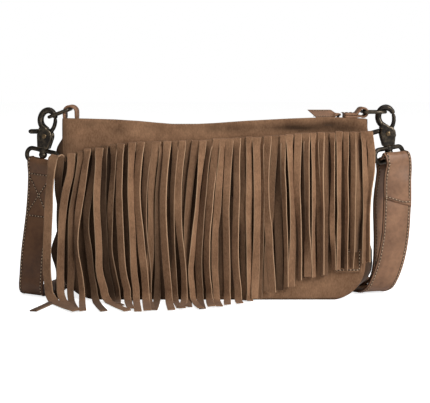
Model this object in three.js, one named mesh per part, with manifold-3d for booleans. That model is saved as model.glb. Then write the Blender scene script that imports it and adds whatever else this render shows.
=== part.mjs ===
import * as THREE from 'three';
import { mergeVertices } from 'three/addons/utils/BufferGeometryUtils.js';
import Module from 'manifold-3d';

const wasm = await Module();
wasm.setup();

// Millimetres, +Z up. The front of the bag faces -Y and the origin lies in the middle of its base.

// Body of the bag
const BODY_LENGTH = 310;
const BODY_HEIGHT = 182;
const BASE_DEPTH = 52;
const TOP_DEPTH = 18;
const CORNER_RADIUS = 36;
const TOP_NARROWING = 1.5;
const PANEL_BELLY = 3;
const TOP_DIP = 6;
const TOP_DIP_X = -35;
const TOP_DIP_SPREAD = 48;
const SUEDE = 1.8;
const GUSSET_BULGE = 8;
const GUSSET_RECESS = 8;
const SEAT_GAP = 0.3;

// Band of suede behind the strands, and the strands themselves
const BAND_DROP = 57;
const BAND_THICKNESS = 1.5;
const STRAND_PITCH = 9.4;
const STRAND_WIDTH = 8;
const STRAND_THICKNESS = 1.4;
const FRINGE_HEADER = 9;
const FLOOR_REACH = 28;
const REAR_SHORTER = 9;

// Bare patch at the lower right of the front
const PATCH = { width: 26, height: 22, thickness: 1, fromEdge: 23, up: 40 };

// Zip
const TAPE_THICKNESS = 0.8;
const ZIP_DROP = 7.7;
const ZIP_END_MARGIN = 20;
const TOOTH_PITCH = 5.4;
const TOOTH_LENGTH = 2.3;
const TOOTH_REACH = 1.1;
const TOOTH_HEIGHT = 2.4;
const CHAIN_HALF_WIDTH = 2.5;
const SLIDER = { length: 12, width: 8, plate: 1.1, fromEnd: 36.5, bridge: 4.3, flange: 0.8, wedge: 1.3 };
const BRIDGE_BAR = { halfWidth: 1.1, leg: 1.3, roof: 1.2 };
const PULLER = { wire: 0.8, halfWidth: 4, corner: 1.2, lift: 6, lean: 2.5 };
const TAB = { length: 28, width: 11, thickness: 3, tongue: 5.4, twist: 38 };

// Leather loops on the top corners and the D-rings in them
const LOOP_LEATHER = 2.2;
const LOOP_WIDTH = 19;
const RIGHT_LOOP = { inset: 8.5, radius: 4.3, tail: 15.5, slit: 1 };
const LEFT_LOOP = { inset: 9.5, up: 5.3, radius: 5.9 };
const RING_WIRE = 3;
const RING_HALF_WIDTH = 12;
const RING_REACH = 22.1;
const LEFT_RING_DROOP = 21;

// Swivel snap hooks: sizes are in the hook's own frame, whose origin is the middle of the swivel eye's boss
const SNAP_OUT = 19;
const SNAP = {
  left: { drop: 33.6, tilt: 9.5, hookTurn: -10, eyeTurn: -27 },
  right: { drop: 31.1, tilt: -6, hookTurn: 0, eyeTurn: 36 },
};
const BOSS = { radius: 4, height: 5.5 };
const EYE = { width: 44, height: 17, wire: 4 };
const POST_RADIUS = 2;
const POST_HEAD = { radius: 3.3, height: 4.5 };
const CHEEK = { thickness: 2.2, radius: 7, foot: 5, pivot: 14.7 };
const TRIGGER_THICKNESS = 3.2;
const HOOK_EYE = { centre: 31.5, radiusX: 7.75, radiusZ: 9.4, bar: 2.15, nose: 27 };
const THUMB_REACH = 17.8;
const PIN_RADIUS = 1.25;
const PIN_HEAD = 2.6;
const TRIGGER_HUB = 5;
const SPRING = { turns: 1.75, pitch: 0.6, wire: 0.22, radius: 2.5, pocket: 3.5 };

// Strap
const STRAP_WIDTH = 30;
const STRAP_THICKNESS = 2.4;
const FOLD_BACK = 50;
const FOLD_NECK = 16;
const WRAP_GAP = 0.55;
const LAY_GAP = 0.5;
const SEAM_HEIGHT = 92;
const SEAM_SLOPE = Math.tan(THREE.MathUtils.degToRad(20));
const FLOOR_CLEARANCE = 0.5;
const TWIST_LIFT = 0.9;

const HALF_LENGTH = BODY_LENGTH / 2;
const HALF_BASE = BASE_DEPTH / 2;
const HALF_TOP = TOP_DEPTH / 2;
const UP = new THREE.Vector3(0, 0, 1);
const ACROSS = new THREE.Vector3(0, 1, 0);

const vec = (x, y, z) => new THREE.Vector3(x, y, z);
const rad = (degrees) => THREE.MathUtils.degToRad(degrees);
const lerp = THREE.MathUtils.lerp;
const smooth = (value, low, high) => THREE.MathUtils.smoothstep(value, low, high);

// Makes an indexed geometry from corner points and triangles, with its faces pointing out.
function bodyOf(points, triangles) {
  let volume = 0;
  for (const [a, b, c] of triangles) {
    volume += points[a].dot(points[b].clone().cross(points[c]));
  }
  const index = triangles.flatMap(([a, b, c]) => (volume < 0 ? [a, c, b] : [a, b, c]));
  const geometry = new THREE.BufferGeometry();
  geometry.setAttribute('position', new THREE.Float32BufferAttribute(points.flatMap((p) => p.toArray()), 3));
  geometry.setIndex(index);
  return geometry;
}

// Skins a row of convex rings that each have the same number of points.
function skinRings(rings, closed = false) {
  const count = rings[0].length;
  const points = rings.flat();
  const triangles = [];
  const last = closed ? rings.length : rings.length - 1;
  for (let i = 0; i < last; i += 1) {
    const here = i * count;
    const next = ((i + 1) % rings.length) * count;
    for (let j = 0; j < count; j += 1) {
      const k = (j + 1) % count;
      triangles.push([here + j, here + k, next + k], [here + j, next + k, next + j]);
    }
  }
  if (!closed) {
    const end = (rings.length - 1) * count;
    for (let j = 1; j < count - 1; j += 1) {
      triangles.push([0, j + 1, j], [end, end + j, end + j + 1]);
    }
  }
  return bodyOf(points, triangles);
}

// Makes a curved sheet with a real thickness from an outer and an inner surface over the unit square.
function sheet(outerAt, innerAt, columns, rows) {
  const points = [];
  const triangles = [];
  const layer = (columns + 1) * (rows + 1);
  for (const surface of [outerAt, innerAt]) {
    for (let j = 0; j <= rows; j += 1) {
      for (let i = 0; i <= columns; i += 1) {
        points.push(surface(i / columns, j / rows));
      }
    }
  }
  const at = (i, j) => j * (columns + 1) + i;
  const quad = (a, b, c, d) => triangles.push([a, b, c], [a, c, d]);
  for (let j = 0; j < rows; j += 1) {
    for (let i = 0; i < columns; i += 1) {
      quad(at(i, j), at(i + 1, j), at(i + 1, j + 1), at(i, j + 1));
      quad(layer + at(i, j), layer + at(i, j + 1), layer + at(i + 1, j + 1), layer + at(i + 1, j));
    }
  }
  for (let i = 0; i < columns; i += 1) {
    quad(at(i, 0), layer + at(i, 0), layer + at(i + 1, 0), at(i + 1, 0));
    quad(at(i + 1, rows), layer + at(i + 1, rows), layer + at(i, rows), at(i, rows));
  }
  for (let j = 0; j < rows; j += 1) {
    quad(at(0, j + 1), layer + at(0, j + 1), layer + at(0, j), at(0, j));
    quad(at(columns, j), layer + at(columns, j), layer + at(columns, j + 1), at(columns, j + 1));
  }
  return bodyOf(points, triangles);
}

// Extrudes an outline drawn in X and Z along Y.
function plate(shape, lowY, highY, curveSegments = 12) {
  const depth = highY - lowY;
  const geometry = new THREE.ExtrudeGeometry(shape, { depth, bevelEnabled: false, curveSegments });
  geometry.rotateX(Math.PI / 2);
  geometry.translate(0, highY, 0);
  return geometry;
}

function toSolid(geometry) {
  const bare = geometry.clone();
  bare.deleteAttribute('normal');
  bare.deleteAttribute('uv');
  const merged = mergeVertices(bare, 1e-4);
  return new wasm.Manifold(new wasm.Mesh({
    numProp: 3,
    vertProperties: Float32Array.from(merged.attributes.position.array),
    triVerts: Uint32Array.from(merged.index.array),
  }));
}

function toGeometry(solid) {
  const mesh = solid.getMesh();
  const geometry = new THREE.BufferGeometry();
  geometry.setAttribute('position', new THREE.BufferAttribute(Float32Array.from(mesh.vertProperties), 3));
  geometry.setIndex(new THREE.BufferAttribute(Uint32Array.from(mesh.triVerts), 1));
  return geometry;
}

const join = (geometries) => toGeometry(geometries.map(toSolid).reduce((a, b) => a.add(b)));
const cut = (geometry, tools) => toGeometry(tools.map(toSolid).reduce((a, b) => a.subtract(b), toSolid(geometry)));

// A round bar along Y, centred on the given place.
function pinAlongY(radius, lowY, highY, x, z, sides = 20) {
  const geometry = new THREE.CylinderGeometry(radius, radius, highY - lowY, sides);
  geometry.translate(x, (lowY + highY) / 2, z);
  return geometry;
}

// An oval section around a centre, spanned by two directions.
function ovalRing(centre, first, second, halfFirst, halfSecond, sides) {
  return Array.from({ length: sides }, (_, k) => {
    const angle = (k / sides) * Math.PI * 2;
    const ring = centre.clone().addScaledVector(first, Math.cos(angle) * halfFirst);
    return ring.addScaledVector(second, Math.sin(angle) * halfSecond);
  });
}

// A closed loop of round wire that lies in the plane with the given normal.
function wireLoop(points, normal, radius, sides) {
  const count = points.length;
  const rings = points.map((point, i) => {
    const along = points[(i + 1) % count].clone().sub(points[(i + count - 1) % count]).normalize();
    const side = normal.clone().cross(along);
    return ovalRing(point, side, normal, radius, radius, sides);
  });
  return skinRings(rings, true);
}

// A bar in the XZ plane; each station gives x, z, half its height in the plane and half its depth along Y.
function flatBar(stations, sides = 8) {
  const points = stations.map(([x, z]) => vec(x, 0, z));
  const rings = stations.map(([, , halfHigh, halfDeep], i) => {
    const before = points[Math.max(i - 1, 0)];
    const after = points[Math.min(i + 1, points.length - 1)];
    const along = after.clone().sub(before).normalize();
    const side = ACROSS.clone().cross(along);
    return ovalRing(points[i], side, ACROSS, halfHigh, halfDeep, sides);
  });
  return skinRings(rings);
}

// Half the length of the front and back panels at a height.
function halfLengthAt(z) {
  const narrowing = TOP_NARROWING * (z / BODY_HEIGHT);
  if (z >= CORNER_RADIUS) {
    return HALF_LENGTH - narrowing;
  }
  const drop = CORNER_RADIUS - z;
  return HALF_LENGTH - narrowing - CORNER_RADIUS + Math.sqrt(Math.max(CORNER_RADIUS ** 2 - drop ** 2, 0));
}

const halfDepthAt = (z) => lerp(HALF_BASE, HALF_TOP, z / BODY_HEIGHT);
const topDipAt = (x) => TOP_DIP * Math.exp(-(((x - TOP_DIP_X) / TOP_DIP_SPREAD) ** 2));
const topEdgeAt = (x) => BODY_HEIGHT - topDipAt(x);

// How far the outer face of a panel stands from the middle plane.
function panelFaceAt(x, z) {
  const across = Math.min(Math.abs(x) / halfLengthAt(Math.min(Math.max(z, 0), BODY_HEIGHT)), 1);
  const up = Math.min(Math.max(z / BODY_HEIGHT, 0), 1);
  return halfDepthAt(Math.max(z, 0)) + PANEL_BELLY * Math.sin(Math.PI * up) * (1 - across ** 2);
}

// Front or back panel: a leaning sheet with round lower corners and a dipped top edge.
function panelBody(side) {
  const surface = (inward) => (u, v) => {
    const row = v * BODY_HEIGHT;
    const x = (2 * u - 1) * halfLengthAt(row);
    const z = row - topDipAt(x) * smooth(row, BODY_HEIGHT * 0.7, BODY_HEIGHT);
    return vec(x, side * (panelFaceAt(x, z) - inward), z);
  };
  return sheet(surface(0), surface(SUEDE), 18, 10);
}

// A place on the outline of the panels, from the top left round the base to the top right, and its outward normal.
function outlineAt(t) {
  const side = BODY_HEIGHT - CORNER_RADIUS;
  const arc = (Math.PI / 2) * CORNER_RADIUS;
  const flat = 2 * (HALF_LENGTH - CORNER_RADIUS);
  const travelled = t * (2 * side + 2 * arc + flat);
  const half = side + arc + flat / 2;
  const mirrored = travelled > half;
  const along = mirrored ? 2 * half - travelled : travelled;
  let x = 0;
  let z = 0;
  let normal = vec(0, 0, -1);
  if (along < side) {
    z = BODY_HEIGHT - along;
    x = -halfLengthAt(z);
    normal = vec(-1, 0, 0);
  } else if (along < side + arc) {
    const angle = (along - side) / CORNER_RADIUS;
    z = CORNER_RADIUS * (1 - Math.sin(angle));
    x = -(HALF_LENGTH - CORNER_RADIUS + CORNER_RADIUS * Math.cos(angle));
    normal = vec(-Math.cos(angle), 0, -Math.sin(angle));
  } else {
    x = -(HALF_LENGTH - CORNER_RADIUS) + (along - side - arc);
  }
  return mirrored ? { x: -x, z, normal: vec(-normal.x, 0, normal.z) } : { x, z, normal };
}

// Side and bottom gusset: one strip that swells at the sides, lies flat below and is pinched in at the top.
function gussetBody() {
  const surface = (inward) => (u, v) => {
    const { x, z, normal } = outlineAt(u);
    const reach = halfDepthAt(z) - SUEDE - SEAT_GAP;
    const across = 2 * v - 1;
    const pinch = smooth(z, BODY_HEIGHT * 0.48, BODY_HEIGHT * 0.78);
    const swell = smooth(z, 0, CORNER_RADIUS * 0.8);
    const bulge = lerp(GUSSET_BULGE * swell, -GUSSET_RECESS, pinch) * (1 - across ** 4);
    return vec(x, across * reach, z).addScaledVector(normal, bulge - inward);
  };
  return sheet(surface(0), surface(SUEDE), 48, 6);
}

// Height of the line over which the strands fold, from left to right
const FOLD_LINE = new THREE.SplineCurve([
  [-1, 36], [-0.8, 32], [-0.6, 27], [-0.4, 25], [-0.1, 24], [0.2, 20.5], [0.5, 17.5], [0.8, 15.6], [1, 15.6],
].map(([share, below]) => new THREE.Vector2(share * HALF_LENGTH, BODY_HEIGHT - below)));

function foldHeightAt(x) {
  const share = Math.min(Math.max((x + HALF_LENGTH) / BODY_LENGTH, 0), 1);
  let low = 0;
  let high = 1;
  for (let i = 0; i < 24; i += 1) {
    const middle = (low + high) / 2;
    if (FOLD_LINE.getPoint(middle).x < lerp(-HALF_LENGTH, HALF_LENGTH, share)) {
      low = middle;
    } else {
      high = middle;
    }
  }
  return FOLD_LINE.getPoint(low).y;
}

// Height of the strands' lower ends; on the left they reach the surface that the bag stands on.
const strandEndAt = (x) => 36 * smooth(x, HALF_LENGTH * 0.16, HALF_LENGTH * 0.8);

const BAND_OUT = SEAT_GAP;
const REAR_OUT = BAND_OUT + BAND_THICKNESS + SEAT_GAP;
const FRONT_OUT = REAR_OUT + STRAND_THICKNESS + SEAT_GAP;
const FRINGE_HALF = HALF_LENGTH - 4;

function bandBody() {
  const surface = (out) => (u, v) => {
    const x = lerp(-FRINGE_HALF, FRINGE_HALF, u);
    const z = foldHeightAt(x) - 2 - (1 - v) * (BAND_DROP - 2);
    return vec(x, -(panelFaceAt(x, z) + out), z);
  };
  return sheet(surface(BAND_OUT + BAND_THICKNESS), surface(BAND_OUT), 20, 4);
}

// One strand: a ribbon that follows the front of the bag down and turns forward where it meets the floor.
function strandBody(x, out, endLift) {
  const top = foldHeightAt(x) - FRINGE_HEADER + 2;
  const end = strandEndAt(x) + endLift;
  const middle = out + STRAND_THICKNESS / 2;
  const turn = 8;
  const onFloor = end < turn * 0.6;
  const stop = onFloor ? turn : end;
  const centres = [];
  for (let i = 0; i <= 4; i += 1) {
    const z = lerp(top, stop, i / 4);
    centres.push([-(panelFaceAt(x, z) + middle), z, 0]);
  }
  if (onFloor) {
    const lowest = STRAND_THICKNESS / 2 + FLOOR_CLEARANCE;
    const radius = turn - lowest;
    const face = -(panelFaceAt(x, turn) + middle);
    centres.push([face - radius * 0.3, lowest + radius * 0.29, Math.PI / 4]);
    centres.push([face - radius, lowest, Math.PI / 2]);
    centres.push([face - radius - (FLOOR_REACH - endLift), lowest, Math.PI / 2]);
  }
  const half = STRAND_WIDTH / 2;
  const rings = centres.map(([y, z, lean]) => {
    const outward = vec(0, -Math.cos(lean), Math.sin(lean)).multiplyScalar(STRAND_THICKNESS / 2);
    const centre = vec(x, y, z);
    return [
      centre.clone().add(outward).add(vec(-half, 0, 0)),
      centre.clone().add(outward).add(vec(half, 0, 0)),
      centre.clone().sub(outward).add(vec(half, 0, 0)),
      centre.clone().sub(outward).add(vec(-half, 0, 0)),
    ];
  });
  return skinRings(rings);
}

// Uncut head of a fringe layer; the front layer's rolls over the line and tucks in behind.
function fringeHead(out, rolled) {
  const inner = out;
  const outer = out + STRAND_THICKNESS;
  const crown = (outer - BAND_OUT) / 2;
  const profile = [[inner, -FRINGE_HEADER], [outer, -FRINGE_HEADER]];
  if (rolled) {
    for (let i = 0; i <= 4; i += 1) {
      const angle = (i / 4) * Math.PI;
      profile.push([BAND_OUT + crown + crown * Math.cos(angle), crown * Math.sin(angle)]);
    }
    profile.push([BAND_OUT, -1], [inner, -1.6]);
  } else {
    profile.push([outer, -2], [inner, -2]);
  }
  const columns = 20;
  const rings = Array.from({ length: columns + 1 }, (_, i) => {
    const x = lerp(-FRINGE_HALF, FRINGE_HALF, i / columns);
    const fold = foldHeightAt(x);
    return profile.map(([away, up]) => vec(x, -(panelFaceAt(x, fold + up) + away), fold + up));
  });
  return { rings, profile };
}

// Skins rings whose outline isn't convex: the two ends are filled by triangulating the profile.
function skinProfile({ rings, profile }) {
  const count = profile.length;
  const points = rings.flat();
  const triangles = [];
  for (let i = 0; i < rings.length - 1; i += 1) {
    for (let j = 0; j < count; j += 1) {
      const k = (j + 1) % count;
      const a = i * count + j;
      const b = i * count + k;
      triangles.push([a, b, b + count], [a, b + count, a + count]);
    }
  }
  const flat = profile.map(([away, up]) => new THREE.Vector2(away, up));
  const end = (rings.length - 1) * count;
  const forward = THREE.ShapeUtils.area(flat) > 0 ? 1 : -1;
  for (const [a, b, c] of THREE.ShapeUtils.triangulateShape(flat, [])) {
    const start = forward > 0 ? [a, c, b] : [a, b, c];
    triangles.push(start, [end + start[0], end + start[2], end + start[1]]);
  }
  return bodyOf(points, triangles);
}

function fringeBody(out, rolled, shift, endLift) {
  const pieces = [skinProfile(fringeHead(out, rolled))];
  const count = Math.floor((2 * FRINGE_HALF - STRAND_WIDTH) / STRAND_PITCH);
  const start = -(count * STRAND_PITCH) / 2;
  for (let i = 0; i < count + 1 - shift; i += 1) {
    pieces.push(strandBody(start + (i + shift / 2) * STRAND_PITCH, out, endLift));
  }
  return join(pieces);
}

// Bare stitched patch: a thin slab with round corners that follows the panel.
function patchBody() {
  const centreX = HALF_LENGTH - PATCH.fromEdge;
  const surface = (out) => (u, v) => {
    const x = centreX + (u - 0.5) * PATCH.width;
    const z = PATCH.up + (v - 0.5) * PATCH.height;
    return vec(x, -(panelFaceAt(x, z) + out), z);
  };
  return sheet(surface(SEAT_GAP + PATCH.thickness), surface(SEAT_GAP), 4, 3);
}

const ZIP_Z = BODY_HEIGHT - ZIP_DROP;
const ZIP_LEFT = -(HALF_LENGTH - ZIP_END_MARGIN);
const ZIP_RIGHT = HALF_LENGTH - ZIP_END_MARGIN;
const SLIDER_X = HALF_LENGTH - SLIDER.fromEnd;
const TEETH_RIGHT = SLIDER_X + SLIDER.length * 0.1;

// One side of the zip: a woven tape whose edge carries a row of moulded teeth.
function zipHalfBody(side) {
  const wall = halfDepthAt(ZIP_Z) - SUEDE - SEAT_GAP;
  const tape = new THREE.BoxGeometry(ZIP_RIGHT - ZIP_LEFT, wall - CHAIN_HALF_WIDTH + 1, TAPE_THICKNESS);
  tape.translate((ZIP_RIGHT + ZIP_LEFT) / 2, (side * (wall + CHAIN_HALF_WIDTH - 1)) / 2, ZIP_Z);
  const pieces = [tape];
  const offset = side > 0 ? 0 : TOOTH_PITCH / 2;
  for (let x = ZIP_LEFT + 3 + offset; x < TEETH_RIGHT; x += TOOTH_PITCH) {
    const tooth = new THREE.BoxGeometry(TOOTH_LENGTH, CHAIN_HALF_WIDTH + TOOTH_REACH, TOOTH_HEIGHT);
    tooth.translate(x, (side * (CHAIN_HALF_WIDTH - TOOTH_REACH)) / 2, ZIP_Z);
    pieces.push(tooth);
  }
  return join(pieces);
}

// Slider: two plates that clasp the chain, the wedge that spreads the rows, and the bridge for the puller.
function sliderBody() {
  const { length, width, plate: plateThickness, bridge, flange: flangeWidth } = SLIDER;
  const inside = TOOTH_HEIGHT / 2 + SEAT_GAP;
  const pieces = [];
  for (const level of [1, -1]) {
    const outline = new THREE.Shape();
    outline.moveTo(-length / 2, -width * 0.36);
    outline.lineTo(length * 0.15, -width / 2);
    outline.lineTo(length / 2, -width * 0.38);
    outline.lineTo(length / 2, width * 0.38);
    outline.lineTo(length * 0.15, width / 2);
    outline.lineTo(-length / 2, width * 0.36);
    outline.closePath();
    const face = new THREE.ExtrudeGeometry(outline, { depth: plateThickness, bevelEnabled: false });
    face.translate(0, 0, level > 0 ? inside : -inside - plateThickness);
    pieces.push(face);
    for (const side of [1, -1]) {
      const flangeHeight = inside - TAPE_THICKNESS / 2 - SEAT_GAP;
      const flange = new THREE.BoxGeometry(length * 0.6, flangeWidth, flangeHeight + 0.2);
      const flangeZ = TAPE_THICKNESS / 2 + SEAT_GAP + (flangeHeight + 0.2) / 2;
      flange.translate(0, side * (CHAIN_HALF_WIDTH + SEAT_GAP + flangeWidth / 2), level * flangeZ);
      pieces.push(flange);
    }
  }
  const wedge = new THREE.CylinderGeometry(SLIDER.wedge, SLIDER.wedge, 2 * inside + plateThickness, 6);
  wedge.rotateX(Math.PI / 2);
  wedge.scale(1.4, 1, 1);
  wedge.translate(length * 0.32, 0, 0);
  pieces.push(wedge);
  const roof = inside + plateThickness;
  const arch = new THREE.Shape();
  arch.moveTo(-length * 0.36, roof - 0.3);
  arch.lineTo(-length * 0.28, roof + bridge);
  arch.lineTo(length * 0.4, roof + bridge);
  arch.lineTo(length * 0.44, roof - 0.3);
  arch.lineTo(length * 0.44 - BRIDGE_BAR.leg, roof - 0.3);
  arch.lineTo(length * 0.4 - BRIDGE_BAR.leg, roof + bridge - BRIDGE_BAR.roof);
  arch.lineTo(-length * 0.28 + BRIDGE_BAR.leg, roof + bridge - BRIDGE_BAR.roof);
  arch.lineTo(-length * 0.36 + BRIDGE_BAR.leg + 0.2, roof - 0.3);
  arch.closePath();
  pieces.push(plate(arch, -BRIDGE_BAR.halfWidth, BRIDGE_BAR.halfWidth));
  const slider = join(pieces);
  slider.translate(SLIDER_X, 0, ZIP_Z);
  return slider;
}

const PULLER_FOOT = {
  x: SLIDER_X + SLIDER.length * 0.4 - BRIDGE_BAR.leg - SEAT_GAP - PULLER.wire,
  z: ZIP_Z + TOOTH_HEIGHT / 2 + SEAT_GAP + SLIDER.plate + SEAT_GAP + PULLER.wire + 0.6,
};
const PULLER_HEAD = { x: PULLER_FOOT.x + PULLER.lean, z: PULLER_FOOT.z + PULLER.lift };

// Puller: a closed wire link through the slider's bridge.
function pullerBody() {
  const { corner } = PULLER;
  const foot = vec(PULLER_FOOT.x, 0, PULLER_FOOT.z);
  const rise = vec(PULLER_HEAD.x - PULLER_FOOT.x, 0, PULLER_HEAD.z - PULLER_FOOT.z);
  const height = rise.length();
  rise.normalize();
  const normal = ACROSS.clone().cross(rise);
  const points = [];
  const centres = [[1, height - corner], [-1, height - corner], [-1, corner], [1, corner]];
  centres.forEach(([side, up], quarter) => {
    for (let k = 0; k <= 3; k += 1) {
      const angle = ((quarter + k / 3) * Math.PI) / 2;
      const across = side * (PULLER.halfWidth - corner) + corner * Math.cos(angle);
      const along = up + corner * Math.sin(angle);
      points.push(foot.clone().addScaledVector(ACROSS, across).addScaledVector(rise, along));
    }
  });
  return wireLoop(points, normal, PULLER.wire, 8);
}

// Pull tab: a doubled strip of leather, folded round the puller and twisted towards the front.
function pullTabBody() {
  const bore = PULLER.wire + SEAT_GAP;
  const { length, width, thickness, tongue, twist } = TAB;
  const stations = [[0, tongue, 0], [3, tongue, 0], [6.5, width, 0.8], [9, width, 1], [length, width, 1]];
  const rings = stations.map(([away, across, turned]) => {
    const angle = rad(twist) * turned;
    const wide = vec(0, Math.cos(angle), Math.sin(angle)).multiplyScalar(across / 2);
    const thick = vec(0, -Math.sin(angle), Math.cos(angle)).multiplyScalar(thickness / 2);
    const centre = vec(PULLER_HEAD.x - away, 0, PULLER_HEAD.z);
    return [[1, 1], [-1, 1], [-1, -1], [1, -1]].map(([a, b]) => (
      centre.clone().addScaledVector(wide, a).addScaledVector(thick, b)
    ));
  });
  const fold = pinAlongY(thickness / 2 + 0.4, -tongue / 2, tongue / 2, PULLER_HEAD.x, PULLER_HEAD.z, 16);
  const hole = pinAlongY(bore, -tongue, tongue, PULLER_HEAD.x, PULLER_HEAD.z, 12);
  return cut(join([skinRings(rings), fold]), [hole]);
}

// Outline of a folded strip of leather: its centre line with half the thickness on each side.
function stripShape(line, thickness) {
  const offset = (sign) => line.map((point, i) => {
    const before = line[Math.max(i - 1, 0)];
    const after = line[Math.min(i + 1, line.length - 1)];
    const along = after.clone().sub(before).normalize();
    return point.clone().add(new THREE.Vector2(-along.y, along.x).multiplyScalar((sign * thickness) / 2));
  });
  return new THREE.Shape([...offset(1), ...offset(-1).reverse()]);
}

const RIGHT_LOOP_PLACE = {
  x: HALF_LENGTH - RIGHT_LOOP.inset,
  z: BODY_HEIGHT + SEAT_GAP + RIGHT_LOOP.radius + LOOP_LEATHER / 2,
};
const LEFT_LOOP_PLACE = { x: -(HALF_LENGTH - LEFT_LOOP.inset), z: BODY_HEIGHT + LEFT_LOOP.up };

// Right loop: the strip turns round the ring and its two layers lie along the top of the bag.
function rightLoopBody() {
  const { radius, tail, slit } = RIGHT_LOOP;
  const { x, z } = RIGHT_LOOP_PLACE;
  const layer = (slit + LOOP_LEATHER) / 2;
  const low = BODY_HEIGHT + SEAT_GAP + LOOP_LEATHER / 2;
  const middle = low + layer;
  const line = [new THREE.Vector2(x - tail, low), new THREE.Vector2(x - radius * 1.5, low)];
  for (let k = 0; k <= 10; k += 1) {
    const angle = rad(-125 + k * 25);
    line.push(new THREE.Vector2(x + radius * Math.cos(angle), z + radius * Math.sin(angle)));
  }
  line.push(new THREE.Vector2(x - radius * 1.5, middle + layer), new THREE.Vector2(x - tail, middle + layer));
  return plate(stripShape(line, LOOP_LEATHER), -LOOP_WIDTH / 2, LOOP_WIDTH / 2);
}

// Left loop: the strip stands up as an arch, with its two ends on the top edges.
function leftLoopBody() {
  const { radius } = LEFT_LOOP;
  const { x, z } = LEFT_LOOP_PLACE;
  const foot = BODY_HEIGHT + SEAT_GAP;
  const line = [new THREE.Vector2(x + radius, foot)];
  for (let k = 0; k <= 8; k += 1) {
    const angle = (k / 8) * Math.PI;
    line.push(new THREE.Vector2(x + radius * Math.cos(angle), z + radius * Math.sin(angle)));
  }
  line.push(new THREE.Vector2(x - radius, foot));
  return plate(stripShape(line, LOOP_LEATHER), -LOOP_WIDTH / 2, LOOP_WIDTH / 2);
}

// Places where the D-rings' straight bars turn in their loops
const ringSlack = (radius) => radius - LOOP_LEATHER / 2 - RING_WIRE / 2 - SEAT_GAP;
const RIGHT_RING_PLACE = {
  x: RIGHT_LOOP_PLACE.x + ringSlack(RIGHT_LOOP.radius) * Math.cos(rad(20)),
  z: RIGHT_LOOP_PLACE.z - ringSlack(RIGHT_LOOP.radius) * Math.sin(rad(20)),
};
const LEFT_RING_PLACE = {
  x: LEFT_LOOP_PLACE.x - ringSlack(LEFT_LOOP.radius) * Math.cos(rad(62)),
  z: LEFT_LOOP_PLACE.z + ringSlack(LEFT_LOOP.radius) * Math.sin(rad(62)),
};

// D-ring in its own plane: the straight bar lies along Y at the origin and the bow reaches out to +X.
function dRingBody() {
  const corner = 2;
  const half = RING_HALF_WIDTH;
  const leg = RING_REACH - half;
  const points = [];
  for (let k = 0; k <= 3; k += 1) {
    const angle = rad(180 + k * 30);
    points.push(vec(corner + corner * Math.cos(angle), -half + corner + corner * Math.sin(angle), 0));
  }
  for (let k = 0; k <= 12; k += 1) {
    const angle = rad(-90) + (k / 12) * Math.PI;
    points.push(vec(leg + half * Math.cos(angle), half * Math.sin(angle), 0));
  }
  for (let k = 0; k <= 3; k += 1) {
    const angle = rad(90 + k * 30);
    points.push(vec(corner + corner * Math.cos(angle), half - corner + corner * Math.sin(angle), 0));
  }
  points.push(vec(0, 4, 0), vec(0, -4, 0));
  return wireLoop(points, UP, RING_WIRE / 2, 8);
}

const HALF_SLOT = TRIGGER_THICKNESS / 2 + SEAT_GAP;
const HALF_HOOK = HALF_SLOT + CHEEK.thickness;

// Outline of the housing: a disc round the pin that runs down into the foot.
function cheekShape() {
  const { radius, foot, pivot } = CHEEK;
  const shape = new THREE.Shape();
  const bottom = BOSS.height / 2 + SEAT_GAP;
  shape.moveTo(-foot, bottom);
  shape.lineTo(foot, bottom);
  shape.lineTo(radius * 0.99, pivot - radius * 0.15);
  shape.absarc(0, pivot, radius, rad(-8), rad(188), false);
  shape.closePath();
  return shape;
}

// Cast hook: two cheeks, the foot, the bowed arm with its nose, and the swivel post with its peened head.
function hookBody() {
  const { pivot, foot } = CHEEK;
  const { centre, radiusX, radiusZ, bar, nose } = HOOK_EYE;
  const bottom = BOSS.height / 2 + SEAT_GAP;
  const pieces = [
    plate(cheekShape(), HALF_SLOT, HALF_HOOK),
    plate(cheekShape(), -HALF_HOOK, -HALF_SLOT),
  ];
  const block = new THREE.BoxGeometry(2 * foot, 2 * HALF_HOOK, 3.4);
  block.translate(0, 0, bottom + 1.7);
  pieces.push(block);
  const stations = [];
  const steps = 18;
  for (let i = 0; i <= steps; i += 1) {
    const share = i / steps;
    const angle = rad(lerp(252, nose, share));
    const thick = bar * (1 - 0.3 * smooth(share, 0.75, 1));
    const deep = lerp(HALF_HOOK, 2.5, smooth(share, 0.08, 0.4));
    stations.push([radiusX * Math.cos(angle), centre + radiusZ * Math.sin(angle), thick, deep]);
  }
  pieces.push(flatBar(stations, 10));
  const crown = new THREE.Shape();
  crown.moveTo(-6.6, pivot + 5.6);
  crown.lineTo(-4.6, centre - radiusZ + 3.4);
  crown.lineTo(0.4, centre - radiusZ + 0.6);
  crown.lineTo(1.2, pivot + 6.2);
  crown.closePath();
  for (const side of [1, -1]) {
    pieces.push(plate(crown, side > 0 ? HALF_SLOT : -HALF_HOOK, side > 0 ? HALF_HOOK : -HALF_SLOT));
  }
  const neck = -BOSS.height / 2 - SEAT_GAP;
  const profile = [
    [0, bottom + 2], [POST_RADIUS, bottom + 2], [POST_RADIUS, neck], [POST_HEAD.radius * 0.85, neck],
    [POST_HEAD.radius, neck - POST_HEAD.height * 0.35], [POST_HEAD.radius * 0.72, neck - POST_HEAD.height * 0.8],
    [0, neck - POST_HEAD.height],
  ].map(([r, z]) => new THREE.Vector2(r, z)).reverse();
  const post = new THREE.LatheGeometry(profile, 16);
  post.rotateX(Math.PI / 2);
  pieces.push(post);
  return cut(join(pieces), [pinAlongY(PIN_RADIUS + SEAT_GAP, -10, 10, 0, pivot, 16)]);
}

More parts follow.
